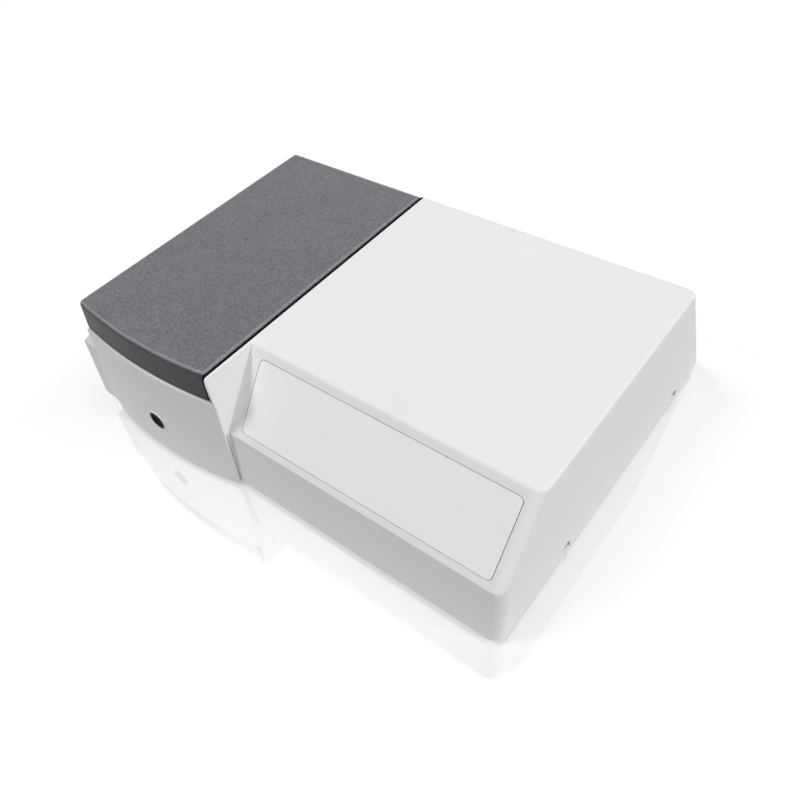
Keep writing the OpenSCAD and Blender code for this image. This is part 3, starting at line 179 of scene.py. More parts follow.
# %% Zones of the table
coated, tree = blank("white_lacquered_table")
where = put(tree, "SeparateXYZ", (), {0: put(tree, "TexCoord").outputs["Object"]})
beyond = []
for axis, half in (("X", cad_high.x), ("Y", cad_high.y)):
    far = put(tree, "Math", {"operation": "ABSOLUTE"}, {0: where.outputs[axis]})
    beyond.append(put(tree, "Math", {"operation": "SUBTRACT", 1: half}, {0: far.outputs[0]}))
away = put(tree, "Math", {"operation": "MAXIMUM"}, {0: beyond[0].outputs[0], 1: beyond[1].outputs[0]})
shine = put(tree, "MapRange", {"From Min": 0.02, "From Max": 0.075, "To Min": 0.24, "To Max": 0.0,
                               "interpolation_type": "SMOOTHSTEP"}, {"Value": away.outputs[0]})
blend_out = put(tree, "MapRange", {"From Min": -0.02, "From Max": 0.1, "To Min": 0.55, "To Max": 1.0,
                                   "interpolation_type": "SMOOTHSTEP"}, {"Value": away.outputs[0]})
print("the case covers", round(2 * cad_high.x / MM), "by", round(2 * cad_high.y / MM), "mm of the table")

# %% Finish of the table
rays = put(tree, "LightPath")
direct = put(tree, "Math", {"operation": "MAXIMUM"}, {0: rays.outputs["Is Camera Ray"],
                                                     1: rays.outputs["Is Glossy Ray"]})
direct = put(tree, "Math", {"operation": "MAXIMUM"}, {0: direct.outputs[0],
                                                     1: rays.outputs["Is Transmission Ray"]})
tint = put(tree, "Mix", {"data_type": "RGBA", "A": linear("#ACACAB"), "B": linear("#FFFFFF")})
tree.links.new(direct.outputs[0], tint.inputs["Factor"])
matt = put(tree, "BsdfDiffuse", (), {"Color": tint.outputs["Result"]})
gloss = put(tree, "BsdfAnisotropic", {"Roughness": 0.06, "Color": linear("#FFFFFF")})
white = put(tree, "Emission", {"Color": linear("#FFFFFF"), "Strength": 1.0})
share = put(tree, "Math", {"operation": "MULTIPLY"}, {0: blend_out.outputs[0], 1: direct.outputs[0]})
paper = put(tree, "MixShader", (), {0: share.outputs[0], 1: matt.outputs[0], 2: white.outputs[0]})
surface = put(tree, "MixShader", (), {0: shine.outputs[0], 1: paper.outputs[0], 2: gloss.outputs[0]})
put(tree, "OutputMaterial", (), {"Surface": surface.outputs[0]})
table.materials.append(coated)
print("table finish with", len(tree.nodes), "nodes")

# %% [markdown]
# Most finishes here are a plain base with two things on top: a slow drift of tone, as every
# moulding or sheet has, and a fine grain that gives the roughness and a small bump. One function
# builds that from real sizes in millimetres. Where a grain is too fine to show at the size of the
# picture, its size is drawn coarser than it is and the cell says so. Two more colours can be
# given, and both are painted light: a painted highlight where a surface starts to turn down from
# level, and a painted shade where it stands upright. They follow the piece's own normals, so they
# stay with the piece when it moves.

# %% Finish builder
def finish(name, colour, drift="", drift_mm=60, grain_mm=1.0, depth_mm=0.02, rough=(0.4, 0.5),
           stretch=(1, 1, 1), speckle=0.0, painted_shade="", edge="", **sockets):
    material, tree = blank(name)
    place = put(tree, "TexCoord")
    spot = put(tree, "Mapping", {"Scale": stretch}, {"Vector": place.outputs["Object"]})
    slow = put(tree, "TexNoise", {"Scale": 1 / (drift_mm * MM), "Detail": 2.0},
               {"Vector": spot.outputs[0]})
    grain = put(tree, "TexNoise", {"Scale": 1 / (grain_mm * MM), "Detail": 3.0, "Roughness": 0.55},
                {"Vector": spot.outputs[0]})
    mixed = put(tree, "Mix", {"data_type": "RGBA", "A": linear(colour), "B": linear(drift or colour)})
    tree.links.new(slow.outputs[0], mixed.inputs["Factor"])
    tone = mixed.outputs["Result"]
    # Painted light: a lighter colour is a painted highlight where a surface turns down from level, and a
    # darker one is painted shade on upright faces
    if painted_shade:
        facing = put(tree, "SeparateXYZ", (), {0: place.outputs["Normal"]})
        for code, low, high in ((edge, 0.99, 0.93), (painted_shade, 0.88, 0.4)):
            turned = put(tree, "MapRange", {"From Min": low, "From Max": high,
                                            "interpolation_type": "SMOOTHSTEP"},
                         {"Value": facing.outputs["Z"]})
            sided = put(tree, "Mix", {"data_type": "RGBA", "B": linear(code)},
                        {"Factor": turned.outputs[0]})
            tree.links.new(tone, sided.inputs["A"])
            tone = sided.outputs["Result"]
    if speckle:
        shade = put(tree, "MapRange", {"From Min": 0.3, "From Max": 0.7, "To Min": 1 - speckle,
                                       "To Max": 1 + speckle}, {"Value": grain.outputs[0]})
        scaled = put(tree, "VectorMath", {"operation": "SCALE"}, {0: tone, "Scale": shade.outputs[0]})
        tone = scaled.outputs[0]
    sheen = put(tree, "MapRange", {"From Min": 0.3, "From Max": 0.7, "To Min": rough[0],
                                   "To Max": rough[1]}, {"Value": grain.outputs[0]})
    relief = put(tree, "Bump", {"Strength": 1.0, "Distance": depth_mm * MM}, {"Height": grain.outputs[0]})
    body = put(tree, "BsdfPrincipled", sockets, {"Base Color": tone, "Roughness": sheen.outputs[0],
                                                 "Normal": relief.outputs[0]})
    put(tree, "OutputMaterial", (), {"Surface": body.outputs[0]})
    return material


print("finish builder ready for", len(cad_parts), "nodes")

# %% [markdown]
# The case is ABS, injection moulded in a spark-eroded tool: a fine matt grain of about 0.3 mm.
# That is below one pixel, so it is drawn at 0.9 mm. The lid is the same plastic in dark grey with
# a coarser leather-like grain of about 0.6 mm, drawn at 1.25 mm, which shows as a salt and pepper
# speckle. Both are matt enough to mirror very little at a flat angle, so the specular level is
# low. The label place is a polyester film with a fine satin coat.

# %% Plastics of the case and the lid
abs_white = finish("abs_moulded_white", "#F0F0F0", "#ECECEB", grain_mm=0.9, depth_mm=0.012,
                   rough=(0.46, 0.56), IOR=1.53, **{"Specular IOR Level": 0.12})
# The lid's rolled edges get #918F94 as a painted highlight and its upright faces get #515055 as painted
# shade, for how the light falls on them
abs_grey = finish("abs_moulded_dark_grey", "#79787C", "#747377", drift_mm=40, grain_mm=1.25,
                  depth_mm=0.05, rough=(0.34, 0.44), speckle=0.34, painted_shade="#515055", edge="#918F94",
                  IOR=1.53, **{"Specular IOR Level": 0.06})
label_film = finish("polyester_label_film", "#F8F8F8", "#F4F4F4", drift_mm=30, grain_mm=0.7,
                    depth_mm=0.006, rough=(0.4, 0.48), IOR=1.57)
print("plastics outside:", abs_white.name, abs_grey.name, label_film.name)

# %% [markdown]
# Inside the compartment the plastic is black, so that no stray light reaches the detector: moulded
# ABS gives a soft grey haze at its edges, and the liner's coarser grain makes it duller still.
# Nylon and acetal are smoother, and their highlights are small, as on a button worn by fingers.
# The rubber of the feet and the seal is duller than any plastic, and the black strip by the lid,
# painted shade for the gap there, takes nearly all light. The fan's glass-filled polyester has a faint
# silk. Moulding grain
# and rubber skin are 0.1 to 0.3 mm fine, so all of them are drawn two to four times as coarse.

# %% Blacks
abs_black = finish("abs_moulded_black", "#1E1E20", "#232325", grain_mm=0.8, depth_mm=0.03,
                   rough=(0.55, 0.7), IOR=1.53)
liner_black = finish("abs_matt_liner_black", "#242426", "#1E1E20", grain_mm=1.1, depth_mm=0.04,
                     rough=(0.6, 0.75), IOR=1.53)
nylon_black = finish("nylon_moulded_black", "#0C0C0D", "#121213", grain_mm=0.6, depth_mm=0.02,
                     rough=(0.5, 0.62), IOR=1.53, **{"Specular IOR Level": 0.12})
button_black = finish("acetal_moulded_black", "#08080A", "#0E0E10", grain_mm=0.5, depth_mm=0.004,
                      rough=(0.36, 0.46), IOR=1.48, **{"Specular IOR Level": 0.12})
# This black is painted shade: the strip it covers stands in for the dark of the gap beside the lid
gap_shade_black = finish("black_of_gap_shade", "#0A0A0A", "#101010", drift_mm=15, grain_mm=0.5,
                      depth_mm=0.02, rough=(0.8, 0.95), IOR=1.5, **{"Specular IOR Level": 0.05})
rubber = finish("epdm_rubber", "#1A1A1A", "#222221", drift_mm=15, grain_mm=0.5, depth_mm=0.03,
                rough=(0.75, 0.9), IOR=1.52)
fan_black = finish("pbt_fan_plastic", "#161617", "#1C1C1E", grain_mm=0.7, depth_mm=0.02,
                   rough=(0.35, 0.5), IOR=1.55)
print("blacks:", len([m for m in bpy.data.materials if "black" in m.name]))

# %% [markdown]
# Metals keep the default IOR and are set apart by colour, roughness and grain direction. Zinc
# plating is bright with small cloudy patches. Brushed stainless steel has long scratches along one
# axis, so its noise is squeezed across them, and the ground pins have theirs round the axle. The
# scratches are some 0.05 mm apart and are drawn as streaks a few tenths of a millimetre wide.

# %% Metals
zinc_steel = finish("zinc_plated_steel", "#C9CBCD", "#B8BCC4", drift_mm=3, grain_mm=0.5,
                    depth_mm=0.004, rough=(0.2, 0.34), Metallic=1.0)
stainless = finish("stainless_brushed", "#B9B8B6", "#A9A9A8", drift_mm=20, grain_mm=1.6,
                   depth_mm=0.006, rough=(0.24, 0.42), stretch=(0.06, 1, 1), Metallic=1.0)
ground_pin = finish("ground_steel_pin", "#BDBDBD", "#AFAFB0", drift_mm=10, grain_mm=0.4,
                    depth_mm=0.002, rough=(0.12, 0.22), stretch=(4, 0.3, 0.3), Metallic=1.0)
print("bright metals:", zinc_steel.name, stainless.name, ground_pin.name)

# %% [markdown]
# Powder coat melts into a skin with the faint waves of an orange peel, about 1.4 mm from crest to
# crest. Galvanised sheet shows the spangle of its zinc crystals, milled aluminium the path of the
# cutter, and turned brass fine rings. Black anodising dulls the metal but keeps some of its sheen.
# Nickel plating is warm and smooth, and the lamp's mirror coat has hardly any roughness at all.

# %% Sheet, coats and turned parts
powder_grey = finish("powder_coated_steel_grey", "#35363A", "#303135", drift_mm=80, grain_mm=1.4,
                     depth_mm=0.05, rough=(0.42, 0.55), IOR=1.5)
panel_steel = finish("powder_coated_rear_panel", "#C8C9C8", "#C2C3C2", drift_mm=80, grain_mm=1.4,
                     depth_mm=0.045, rough=(0.42, 0.55), IOR=1.5)
galvanised = finish("galvanised_sheet", "#AEB2B4", "#979DA1", drift_mm=9, grain_mm=2.2,
                    depth_mm=0.01, rough=(0.32, 0.5), Metallic=1.0)
milled_alloy = finish("aluminium_milled", "#B4B5B7", "#A6A7A9", drift_mm=25, grain_mm=1.2,
                      depth_mm=0.012, rough=(0.28, 0.42), stretch=(1, 0.08, 1), Metallic=1.0)
anodised_black = finish("aluminium_black_anodised", "#1B1B1D", "#222225", drift_mm=18, grain_mm=0.6,
                        depth_mm=0.006, rough=(0.34, 0.48), Metallic=0.6)
brass = finish("brass_turned", "#B9975B", "#A98A52", drift_mm=6, grain_mm=0.5, depth_mm=0.006,
               rough=(0.24, 0.38), stretch=(0.3, 0.3, 3), Metallic=1.0)
nickel_shell = finish("nickel_plated_shell", "#C4C2BC", "#B7B5AF", drift_mm=8, grain_mm=0.8,
                      depth_mm=0.006, rough=(0.18, 0.32), Metallic=1.0)
mirror_coat = finish("aluminised_mirror", "#E4E6E8", "#DFE2E4", drift_mm=12, grain_mm=0.6,
                     depth_mm=0.001, rough=(0.03, 0.07), Metallic=1.0)
print("coated and plain metals ready, materials so far:", len(bpy.data.materials))

# %% [markdown]
# Glass needs transmission and its own IOR. Crown glass is clear with a trace of green at its
# edges, quartz is clear and warm beside the lamp, and the heat filter is green because it holds
# back the red end. The lamp's socket is steatite, a cream ceramic with a satin face.

# %% Glass and ceramics
crown_glass = finish("optical_crown_glass", "#F2F7F6", "#EEF5F4", drift_mm=40, grain_mm=3,
                     depth_mm=0.0005, rough=(0.01, 0.03), IOR=1.52, **{"Transmission Weight": 1.0})
lamp_glass = finish("quartz_lamp_glass", "#F5F4F0", "#F0EFEA", drift_mm=12, grain_mm=2,
                    depth_mm=0.001, rough=(0.02, 0.05), IOR=1.46, **{"Transmission Weight": 0.9})
heat_glass = finish("heat_absorbing_glass", "#CFE6DE", "#C6E0D8", drift_mm=20, grain_mm=2,
                    depth_mm=0.001, rough=(0.02, 0.05), IOR=1.51, **{"Transmission Weight": 0.85})
steatite = finish("steatite_ceramic", "#E2DDD0", "#D8D2C4", drift_mm=8, grain_mm=0.5, depth_mm=0.02,
                  rough=(0.35, 0.5), IOR=1.6)
print("glasses:", crown_glass.name, lamp_glass.name, heat_glass.name)

# %% [markdown]
# Each filter is dyed glass, a plain clear tint. The wheel carries six, so the colour is picked by
# the angle round the wheel's axle, in steps of sixty degrees: one finish then serves all six, and
# the colours stay on their filters when the wheel turns.

# %% Dyed filters
AXLE = (5.5, -44.261, 84.0)
FILTERS = ("#8E2F3A", "#C7772E", "#C9B23B", "#3E8B4F", "#2F6FA6", "#5B4391")
dyed_glass, tree = blank("dyed_filter_glass")
spot = put(tree, "SeparateXYZ", (), {0: put(tree, "TexCoord").outputs["Object"]})
off_y = put(tree, "Math", {"operation": "SUBTRACT", 1: AXLE[1] * MM}, {0: spot.outputs["Y"]})
off_z = put(tree, "Math", {"operation": "SUBTRACT", 1: AXLE[2] * MM}, {0: spot.outputs["Z"]})
turn = put(tree, "Math", {"operation": "ARCTAN2"}, {0: off_z.outputs[0], 1: off_y.outputs[0]})
# 225 degrees is the place in the beam, so the steps change 30 degrees to either side of it
step = put(tree, "MapRange", {"From Min": math.radians(-165), "From Max": math.radians(195),
                              "clamp": False}, {"Value": turn.outputs[0]})
whole = put(tree, "Math", {"operation": "FRACT"}, {0: step.outputs[0]})
dye = put(tree, "ValToRGB", (), {"Fac": whole.outputs[0]})
dye.color_ramp.interpolation = "CONSTANT"
for index, code in enumerate(FILTERS):
    stop = dye.color_ramp.elements[index] if index < 2 else dye.color_ramp.elements.new(index / 6)
    stop.position = index / 6
    stop.color = linear(code)
pane = put(tree, "BsdfPrincipled", {"Roughness": 0.04, "IOR": 1.52, "Transmission Weight": 0.55},
           {"Base Color": dye.outputs["Color"]})
put(tree, "OutputMaterial", (), {"Surface": pane.outputs[0]})
print("dyed filters:", len(FILTERS))

# %% [markdown]
# The circuit boards are glass-fibre laminate under green solder mask. The weave has a pitch of
# about 0.6 mm; the copper tracks under the mask show as slightly lighter lines, here drawn as the
# borders of cells about 7 mm wide.

# %% Circuit boards
solder_mask, tree = blank("fr4_green_solder_mask")
spot = put(tree, "TexCoord")
tracks = put(tree, "TexVoronoi", {"distance": "MANHATTAN", "feature": "F1", "Scale": 1 / (7 * MM)},
             {"Vector": spot.outputs["Object"]})
lines = put(tree, "Math", {"operation": "PINGPONG", 1: 0.09}, {0: tracks.outputs["Distance"]})
edge_of = put(tree, "MapRange", {"From Min": 0.055, "From Max": 0.075}, {"Value": lines.outputs[0]})
mask_tone = put(tree, "Mix", {"data_type": "RGBA", "A": linear("#1C5A38"), "B": linear("#2E7A4C")})
tree.links.new(edge_of.outputs[0], mask_tone.inputs["Factor"])
weave = put(tree, "TexNoise", {"Scale": 1 / (0.6 * MM)}, {"Vector": spot.outputs["Object"]})
height = put(tree, "Math", {"operation": "MULTIPLY_ADD", 1: 0.3}, {0: weave.outputs[0],
                                                                  2: edge_of.outputs[0]})
relief = put(tree, "Bump", {"Distance": 0.03 * MM}, {"Height": height.outputs[0]})
resin = put(tree, "BsdfPrincipled", {"Roughness": 0.3, "IOR": 1.55},
            {"Base Color": mask_tone.outputs["Result"], "Normal": relief.outputs[0]})
put(tree, "OutputMaterial", (), {"Surface": resin.outputs[0]})
print("solder mask with", len(tree.nodes), "nodes")

# %% [markdown]
# Components are cast in black epoxy, with a dull, even skin. The leads are red silicone, soft and
# slightly milky, and the motor's steel can is painted black, smoother than a powder coat.

# %% Components, leads and motor
epoxy_black = finish("epoxy_component_black", "#1D1D1F", "#29292B", drift_mm=6, grain_mm=0.4,
                     depth_mm=0.01, rough=(0.4, 0.6), IOR=1.55)
silicone_red = finish("silicone_lead_red", "#A3262A", "#8F2025", drift_mm=10, grain_mm=0.6,
                      depth_mm=0.01, rough=(0.45, 0.6), IOR=1.43)
motor_black = finish("painted_motor_can", "#232427", "#1C1D20", drift_mm=14, grain_mm=0.8,
                     depth_mm=0.01, rough=(0.3, 0.45), IOR=1.5)
print("materials made:", len(bpy.data.materials))

# %% [markdown]
# Every node of the frame gets its finish from one table. The case and the lid are in it too: the
# pieces that replace them take the same finish.

# %% Finish of each node
FINISHES = {
    "cover": abs_white, "label_panel": label_film, "cover_screws": zinc_steel, "base_pan": powder_grey,
    "feet": rubber, "lid": abs_grey, "lid_liner": liner_black, "lid_seal": rubber,
    "hinge_leaves": stainless, "lid_leaves": stainless, "hinge_pins": ground_pin,
    "hinge_screws": zinc_steel, "lid_hinge_screws": zinc_steel, "sample_well": abs_black,
    "entrance_window": crown_glass, "cell_holder": anodised_black, "sample_cell": crown_glass,
    "detector_block": milled_alloy, "detector_lens": crown_glass, "detector_board": solder_mask,
    "button_bezel": nylon_black, "start_button": button_black, "button_switch": epoxy_black,
    "optical_bench": milled_alloy, "bench_posts": brass, "lamp_house": galvanised,
    "lamp_socket": steatite, "lamp_bulb": lamp_glass, "reflector": mirror_coat,
    "heat_glass": heat_glass, "collimator_tube": anodised_black, "condenser_lens": crown_glass,
    "motor_bracket": panel_steel, "filter_motor": motor_black, "filter_wheel": anodised_black,
    "colour_filters": dyed_glass, "main_board": solder_mask, "board_parts": epoxy_black,
    "board_posts": brass, "power_supply": galvanised, "rear_panel": panel_steel,
    "panel_screws": zinc_steel, "power_inlet": nylon_black, "fuse_drawer": nylon_black,
    "switch_frame": nylon_black, "power_rocker": button_black, "usb_socket": nickel_shell,
    "serial_socket": nickel_shell, "fan_frame": fan_black, "fan_rotor": fan_black,
    "wiring": silicone_red,
}
missing = sorted(set(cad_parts) - set(FINISHES))
print("nodes without a finish:", missing)
for name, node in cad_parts.items():
    node.data.materials.clear()
    node.data.materials.append(FINISHES[name])

# %% [markdown]
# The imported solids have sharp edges, as machined parts never do. A bevel of a few tenths of a
# millimetre catches a line of light along each edge. The mesh first needs its split corners
# welded, or the bevel finds only open borders.

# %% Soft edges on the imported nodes
SOFT_EDGES = {
    0.15: ("label_panel", "hinge_leaves", "lid_leaves", "rear_panel", "usb_socket", "serial_socket"),
    0.3: ("base_pan", "feet", "lid_liner", "cell_holder", "detector_block", "button_bezel",
          "optical_bench", "lamp_house", "collimator_tube", "motor_bracket", "filter_motor",
          "filter_wheel", "power_supply", "power_inlet", "fuse_drawer", "switch_frame",
          "power_rocker", "fan_frame", "sample_well", "sample_cell"),
}
for width, names in SOFT_EDGES.items():
    for name in names:
        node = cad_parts[name]
        weld = node.modifiers.new("weld", "WELD")
        weld.merge_threshold = 0.002 * MM
        bevel = node.modifiers.new("soft_edges", "BEVEL")
        bevel.width = width * MM
        bevel.segments = 2
        bevel.limit_method = "ANGLE"
        bevel.angle_limit = math.radians(38)
        bevel.harden_normals = False
print("nodes with soft edges:", sum(len(names) for names in SOFT_EDGES.values()))

# %% [markdown]
# The moulded shapes are built in millimetres from three simple things: a convex hull round a
# cloud of points, a prism from an outline, and a boolean that joins or cuts two solids. The quick
# boolean solver is tried first, and the exact one where that leaves the mesh as it was.

# %% Shape helpers
def solid(name, points, faces):
    mesh = bpy.data.meshes.new(name)
    mesh.from_pydata([tuple(p) for p in points], [], faces)
    made = bpy.data.objects.new(name, mesh)
    scene.collection.objects.link(made)
    return made


def hull(name, points):
    made = solid(name, points, [])
    bm = bmesh.new()
    bm.from_mesh(made.data)
    result = bmesh.ops.convex_hull(bm, input=bm.verts)
    left_over = result["geom_interior"] + result["geom_unused"]
    loose = {g for g in left_over if isinstance(g, bmesh.types.BMVert)}
    bmesh.ops.delete(bm, geom=list(loose), context="VERTS")
    bmesh.ops.dissolve_limit(bm, angle_limit=math.radians(0.05), verts=bm.verts, edges=bm.edges)
    bm.to_mesh(made.data)
    bm.free()
    return made


def loft(name, rings):
    count = len(rings[0])
    points = [p for ring in rings for p in ring]
    faces = [tuple(range(count))[::-1], tuple(len(points) - count + i for i in range(count))]
    for level in range(len(rings) - 1):
        for i in range(count):
            j = (i + 1) % count
            a, b = level * count, (level + 1) * count
            faces.append((a + i, a + j, b + j, b + i))
    return solid(name, points, faces)


def prism(name, outline, low, high, place=Matrix()):
    return loft(name, [[place @ Vector((x, y, z)) for x, y in outline] for z in (low, high)])


def carve(body, tool, how="DIFFERENCE"):
    for kind in ("MANIFOLD", "EXACT"):
        cut = body.modifiers.new("cut", "BOOLEAN")
        cut.operation, cut.solver, cut.object = how, kind, tool
        bpy.context.view_layer.update()
        made = bpy.data.meshes.new_from_object(body.evaluated_get(bpy.context.evaluated_depsgraph_get()))
        body.modifiers.clear()
        if len(made.polygons) and len(made.vertices) != len(body.data.vertices):
            break
    body.data = made
    bpy.data.objects.remove(tool)
    return body


print("shape helpers ready")

# %% [markdown]
# Outlines are lists of flat points. A corner gets its radius by an arc between the two points
# where the arc touches its sides, and an outline is set in by moving each corner along the
# bisector of its two sides.

# %% Outline helpers
def rounded(corners, steps=8):
    made = []
    for i, (x, y, radius) in enumerate(corners):
        here = Vector((x, y))
        if radius <= 0:
            made.append((x, y))
            continue
        back = (Vector(corners[i - 1][:2]) - here).normalized()
        on = (Vector(corners[(i + 1) % len(corners)][:2]) - here).normalized()
        half = back.angle(on) / 2
        centre = here + (back + on).normalized() * radius / math.sin(half)
        start = here + back * radius / math.tan(half) - centre
        end = here + on * radius / math.tan(half) - centre
        sweep = start.angle_signed(end)
        for k in range(steps + 1):
            spoke = start.copy()
            spoke.rotate(Matrix.Rotation(-sweep * k / steps, 2))
            made.append(tuple(centre + spoke))
    return made


def inset(outline, depth):
    made = []
    for i, point in enumerate(outline):
        here = Vector(point)
        come = (here - Vector(outline[i - 1])).normalized()
        go = (Vector(outline[(i + 1) % len(outline)]) - here).normalized()
        m, n = Vector((-come.y, come.x)), Vector((-go.y, go.x))
        made.append(tuple(here + depth * (m + n) / (1 + m.dot(n))))
    return made


def round_plate(width, height, radius, x=0.0, y=0.0):
    w, h = width / 2, height / 2
    return rounded([(x - w, y - h, radius), (x + w, y - h, radius), (x + w, y + h, radius),
                    (x - w, y + h, radius)])


def across(outline, x):
    return [Vector((x, y, z)) for y, z in outline]


print("points of a plate with round corners:", len(round_plate(10, 10, 2)))

# %% [markdown]
# These are the sizes of the case, in millimetres, with the origin under its middle and the front
# towards -Y. The right section has a side outline with a slanted panel and a leaning rear wall.

# %% Sizes of the case
BASE, FOLD_Z, RIM, SKIRT, TOP = 5.0, 67.0, 101.7, 102.5, 132.0
FRONT, MAIN, FOLD_Y, SLANT, REAR_TOP, REAR = -181.261, -168.661, -166.739, -120.739, 113.261, 181.261
REAR_FOOT, FOOT_TOP = 177.661, 11.0
LEFT, LID_0, LID_END, CHEEK_0, CHEEK_1, RIGHT = -220.5, -202.5, -44.0, -41.5, -38.5, 220.5
LID_MID, RIM_MID = -122.0, -117.5
WALL, DRAFT = 3.0, 3.2
FAR = 260  # beyond the case on every side, for the tools that cut it
LEAN = math.atan2(REAR - REAR_TOP, TOP - FOOT_TOP)
SLANT_TILT = math.atan2(TOP - FOLD_Z, SLANT - FOLD_Y)
side_outline = [(MAIN, BASE), (REAR_FOOT, BASE), (REAR, FOOT_TOP), (REAR_TOP, TOP), (SLANT, TOP),
                (FOLD_Y, FOLD_Z)]


def rear_at(z):
    return REAR_TOP + (TOP - z) * math.tan(LEAN)


def right_at(z):
    return RIGHT - DRAFT * (z - BASE) / (TOP - BASE)


def depth_at(outline, z, front):
    hits = []
    for i, (y1, z1) in enumerate(outline):
        y0, z0 = outline[i - 1]
        if abs(z1 - z0) > 1e-6 and min(z0, z1) - 1e-6 <= z <= max(z0, z1) + 1e-6:
            hits.append(y0 + (y1 - y0) * (z - z0) / (z1 - z0))
    return min(hits) if front else max(hits)


print("the rear wall leans", round(math.degrees(LEAN), 1), "degrees, the slanted panel rises",
      round(math.degrees(SLANT_TILT), 1))

# %% [markdown]
# The right section is a hull. Its side outline stands at the left end, and each point of it has
# a level arc at the right end, so the upright corners come out round and the edges between the
# top, the slanted panel and the walls keep their own radii, as a moulding has them.

# %% Right section
FRONT_CORNER, REAR_CORNER = 10.0, 9.0


def right_section(name, depth, left, radii, roll_edge=0.0):
    plain = inset(side_outline, depth)
    points = []
    for k in range(13):
        melt = [FOLD_MELT * k / 12 if r and i == 5 else 0 for i, r in enumerate(radii)]
        for y, z in rounded([(y, z, r + more) for (y, z), r, more in zip(plain, radii, melt)]):
            front = y < 0
            radius = (FRONT_CORNER if front else REAR_CORNER) - depth
            face = depth_at(plain, z, front)
            small = max(radius - abs(y - face), 0.2)
            side = 1 if front else -1
            middle = (right_at(z) - depth - radius, face + side * radius)
            a = math.radians(-90 + 7.5 * k if front else 7.5 * k)
            points.append((middle[0] + small * math.cos(a), middle[1] + small * math.sin(a), z))
    for k in range(5):
        a = math.radians(22.5 * k)
        cut_in = roll_edge * (1 - math.cos(a))
        ring = rounded([(y, z, max(r - cut_in, 0.02)) for (y, z), r in zip(inset(plain, cut_in), radii)])
        points += across(ring, left + roll_edge * (1 - math.sin(a)))
        if not roll_edge:
            break
    return hull(name, points)


SIDE_RADII = (0.8, 0.8, 1.5, 4.0, 6.0, 2.2)
# The fold below the slanted panel grows this much rounder on its way round the right corner
FOLD_MELT = 14.0
CHEEK_EDGE, LEFT_ROLL, RIGHT_ROLL = CHEEK_0 + 0.8, 0.6, 1.4
case = right_section("case_shell", 0, CHEEK_EDGE, SIDE_RADII, LEFT_ROLL)
print("right section:", len(case.data.polygons), "faces")

# %% [markdown]
# The cheek closes the right section against the lid. It is a wall that stands proud of the
# slanted panel, with rolled edges: the one along the lid is the bright line in daylight. It is
# lofted from ten copies of its outline, five for each roll.

# %% Cheek
cheek_front = [(12.4, 131.98), (10.9, 131.7), (9.7, 130.9), (9.0, 129.6), (8.7, 127.6), (8.62, 124.5),
               (8.7, 121), (8.85, 117), (9.0, 113), (9.2, 109.5), (9.6, 105.5), (10.0, 102.5),
               (10.6, 99.5), (11.8, 96), (12.6, 92)]
cheek_outline = [(FRONT + 13, 50), (-60, 50), (-60, 131.98)] + [(FRONT + y, z) for y, z in cheek_front]
rolls = [(90 - 22.5 * k, LEFT_ROLL, CHEEK_EDGE, 1) for k in range(5)]
rolls += [(22.5 * k, RIGHT_ROLL, CHEEK_1, -1) for k in range(5)]
rings = []
for degrees, size, x, way_in in rolls:
    a = math.radians(degrees)
    rings.append(across(inset(cheek_outline, size * (1 - math.cos(a))),
                        x + way_in * size * (1 - math.sin(a))))
cheek = loft("cheek", rings)
print("cheek:", round(CHEEK_1 - CHEEK_EDGE, 2), "mm thick")

# %% [markdown]
# The left section carries the lid. Its curved front wall is made of straight lines from an arc at
# the foot to a flatter arc at the rim, so it leans a little differently at each end. The section
# is cut from a long loaf with the outline of the case seen from the front, with the bulge and the
# undercut at its left. Beyond the lid the wall turns level within a few millimetres.

# %% Curved front wall
FOOT_ARC, RIM_ARC, RIM_BACK = 360, 464, 3.6
TURN_SLOPE, TURN_RUN = 0.22, 3


def wall_front(x, z):
    if x < LID_0:
        return wall_front(LID_0, z) + TURN_SLOPE * TURN_RUN * (1 - math.exp((x - LID_0) / TURN_RUN))
    foot = FRONT + FOOT_ARC - math.sqrt(FOOT_ARC ** 2 - (x - LID_MID) ** 2)
    rim = FRONT + RIM_BACK + RIM_ARC - math.sqrt(RIM_ARC ** 2 - (x - RIM_MID) ** 2)
    return foot + (rim - foot) * (z - BASE) / (RIM - BASE)


def wall_plan(z, depth, left, right_end, left_r, right_r):
    points = [Vector((left, wall_front(left + left_r, z) + depth + left_r + 1))]
    for k in range(7):
        a = math.radians(180 + 15 * k)
        points.append(Vector((left + left_r + left_r * math.cos(a),
                              wall_front(left + left_r, z) + depth + left_r + left_r * math.sin(a))))
    count = 56
    start, stop = left + left_r, right_end - right_r * 0.8
    for k in range(1, count):
        x = start + (stop - start) * k / count
        points.append(Vector((x, wall_front(x, z) + depth)))
    base_y = wall_front(stop, z) + depth
    for k in range(6):
        a = math.radians(-78 + 15.6 * k)
        points.append(Vector((right_end - right_r + right_r * math.cos(a),
                              base_y + right_r * 0.98 + right_r * math.sin(a))))
    return points + [Vector((right_end, FAR)), Vector((left, FAR))]


print("front wall at the foot and the rim:", [round(wall_front(LID_MID, z), 2) for z in (BASE, RIM)])

# %% [markdown]
# Two tools shape the loaf: one with the front wall's plan, one with the side outline of the rear.
# A matrix that swaps the axes lays a prism across the case, so that its outline is read as
# depth and height. The same steps, with a depth of one wall, give the hollow inside later.

# %% Left section
LENGTHWISE = Matrix.Rotation(math.radians(90), 4, "X")
ACROSS = Matrix(((0, 0, 1, 0), (1, 0, 0, 0), (0, 1, 0, 0), (0, 0, 0, 1)))


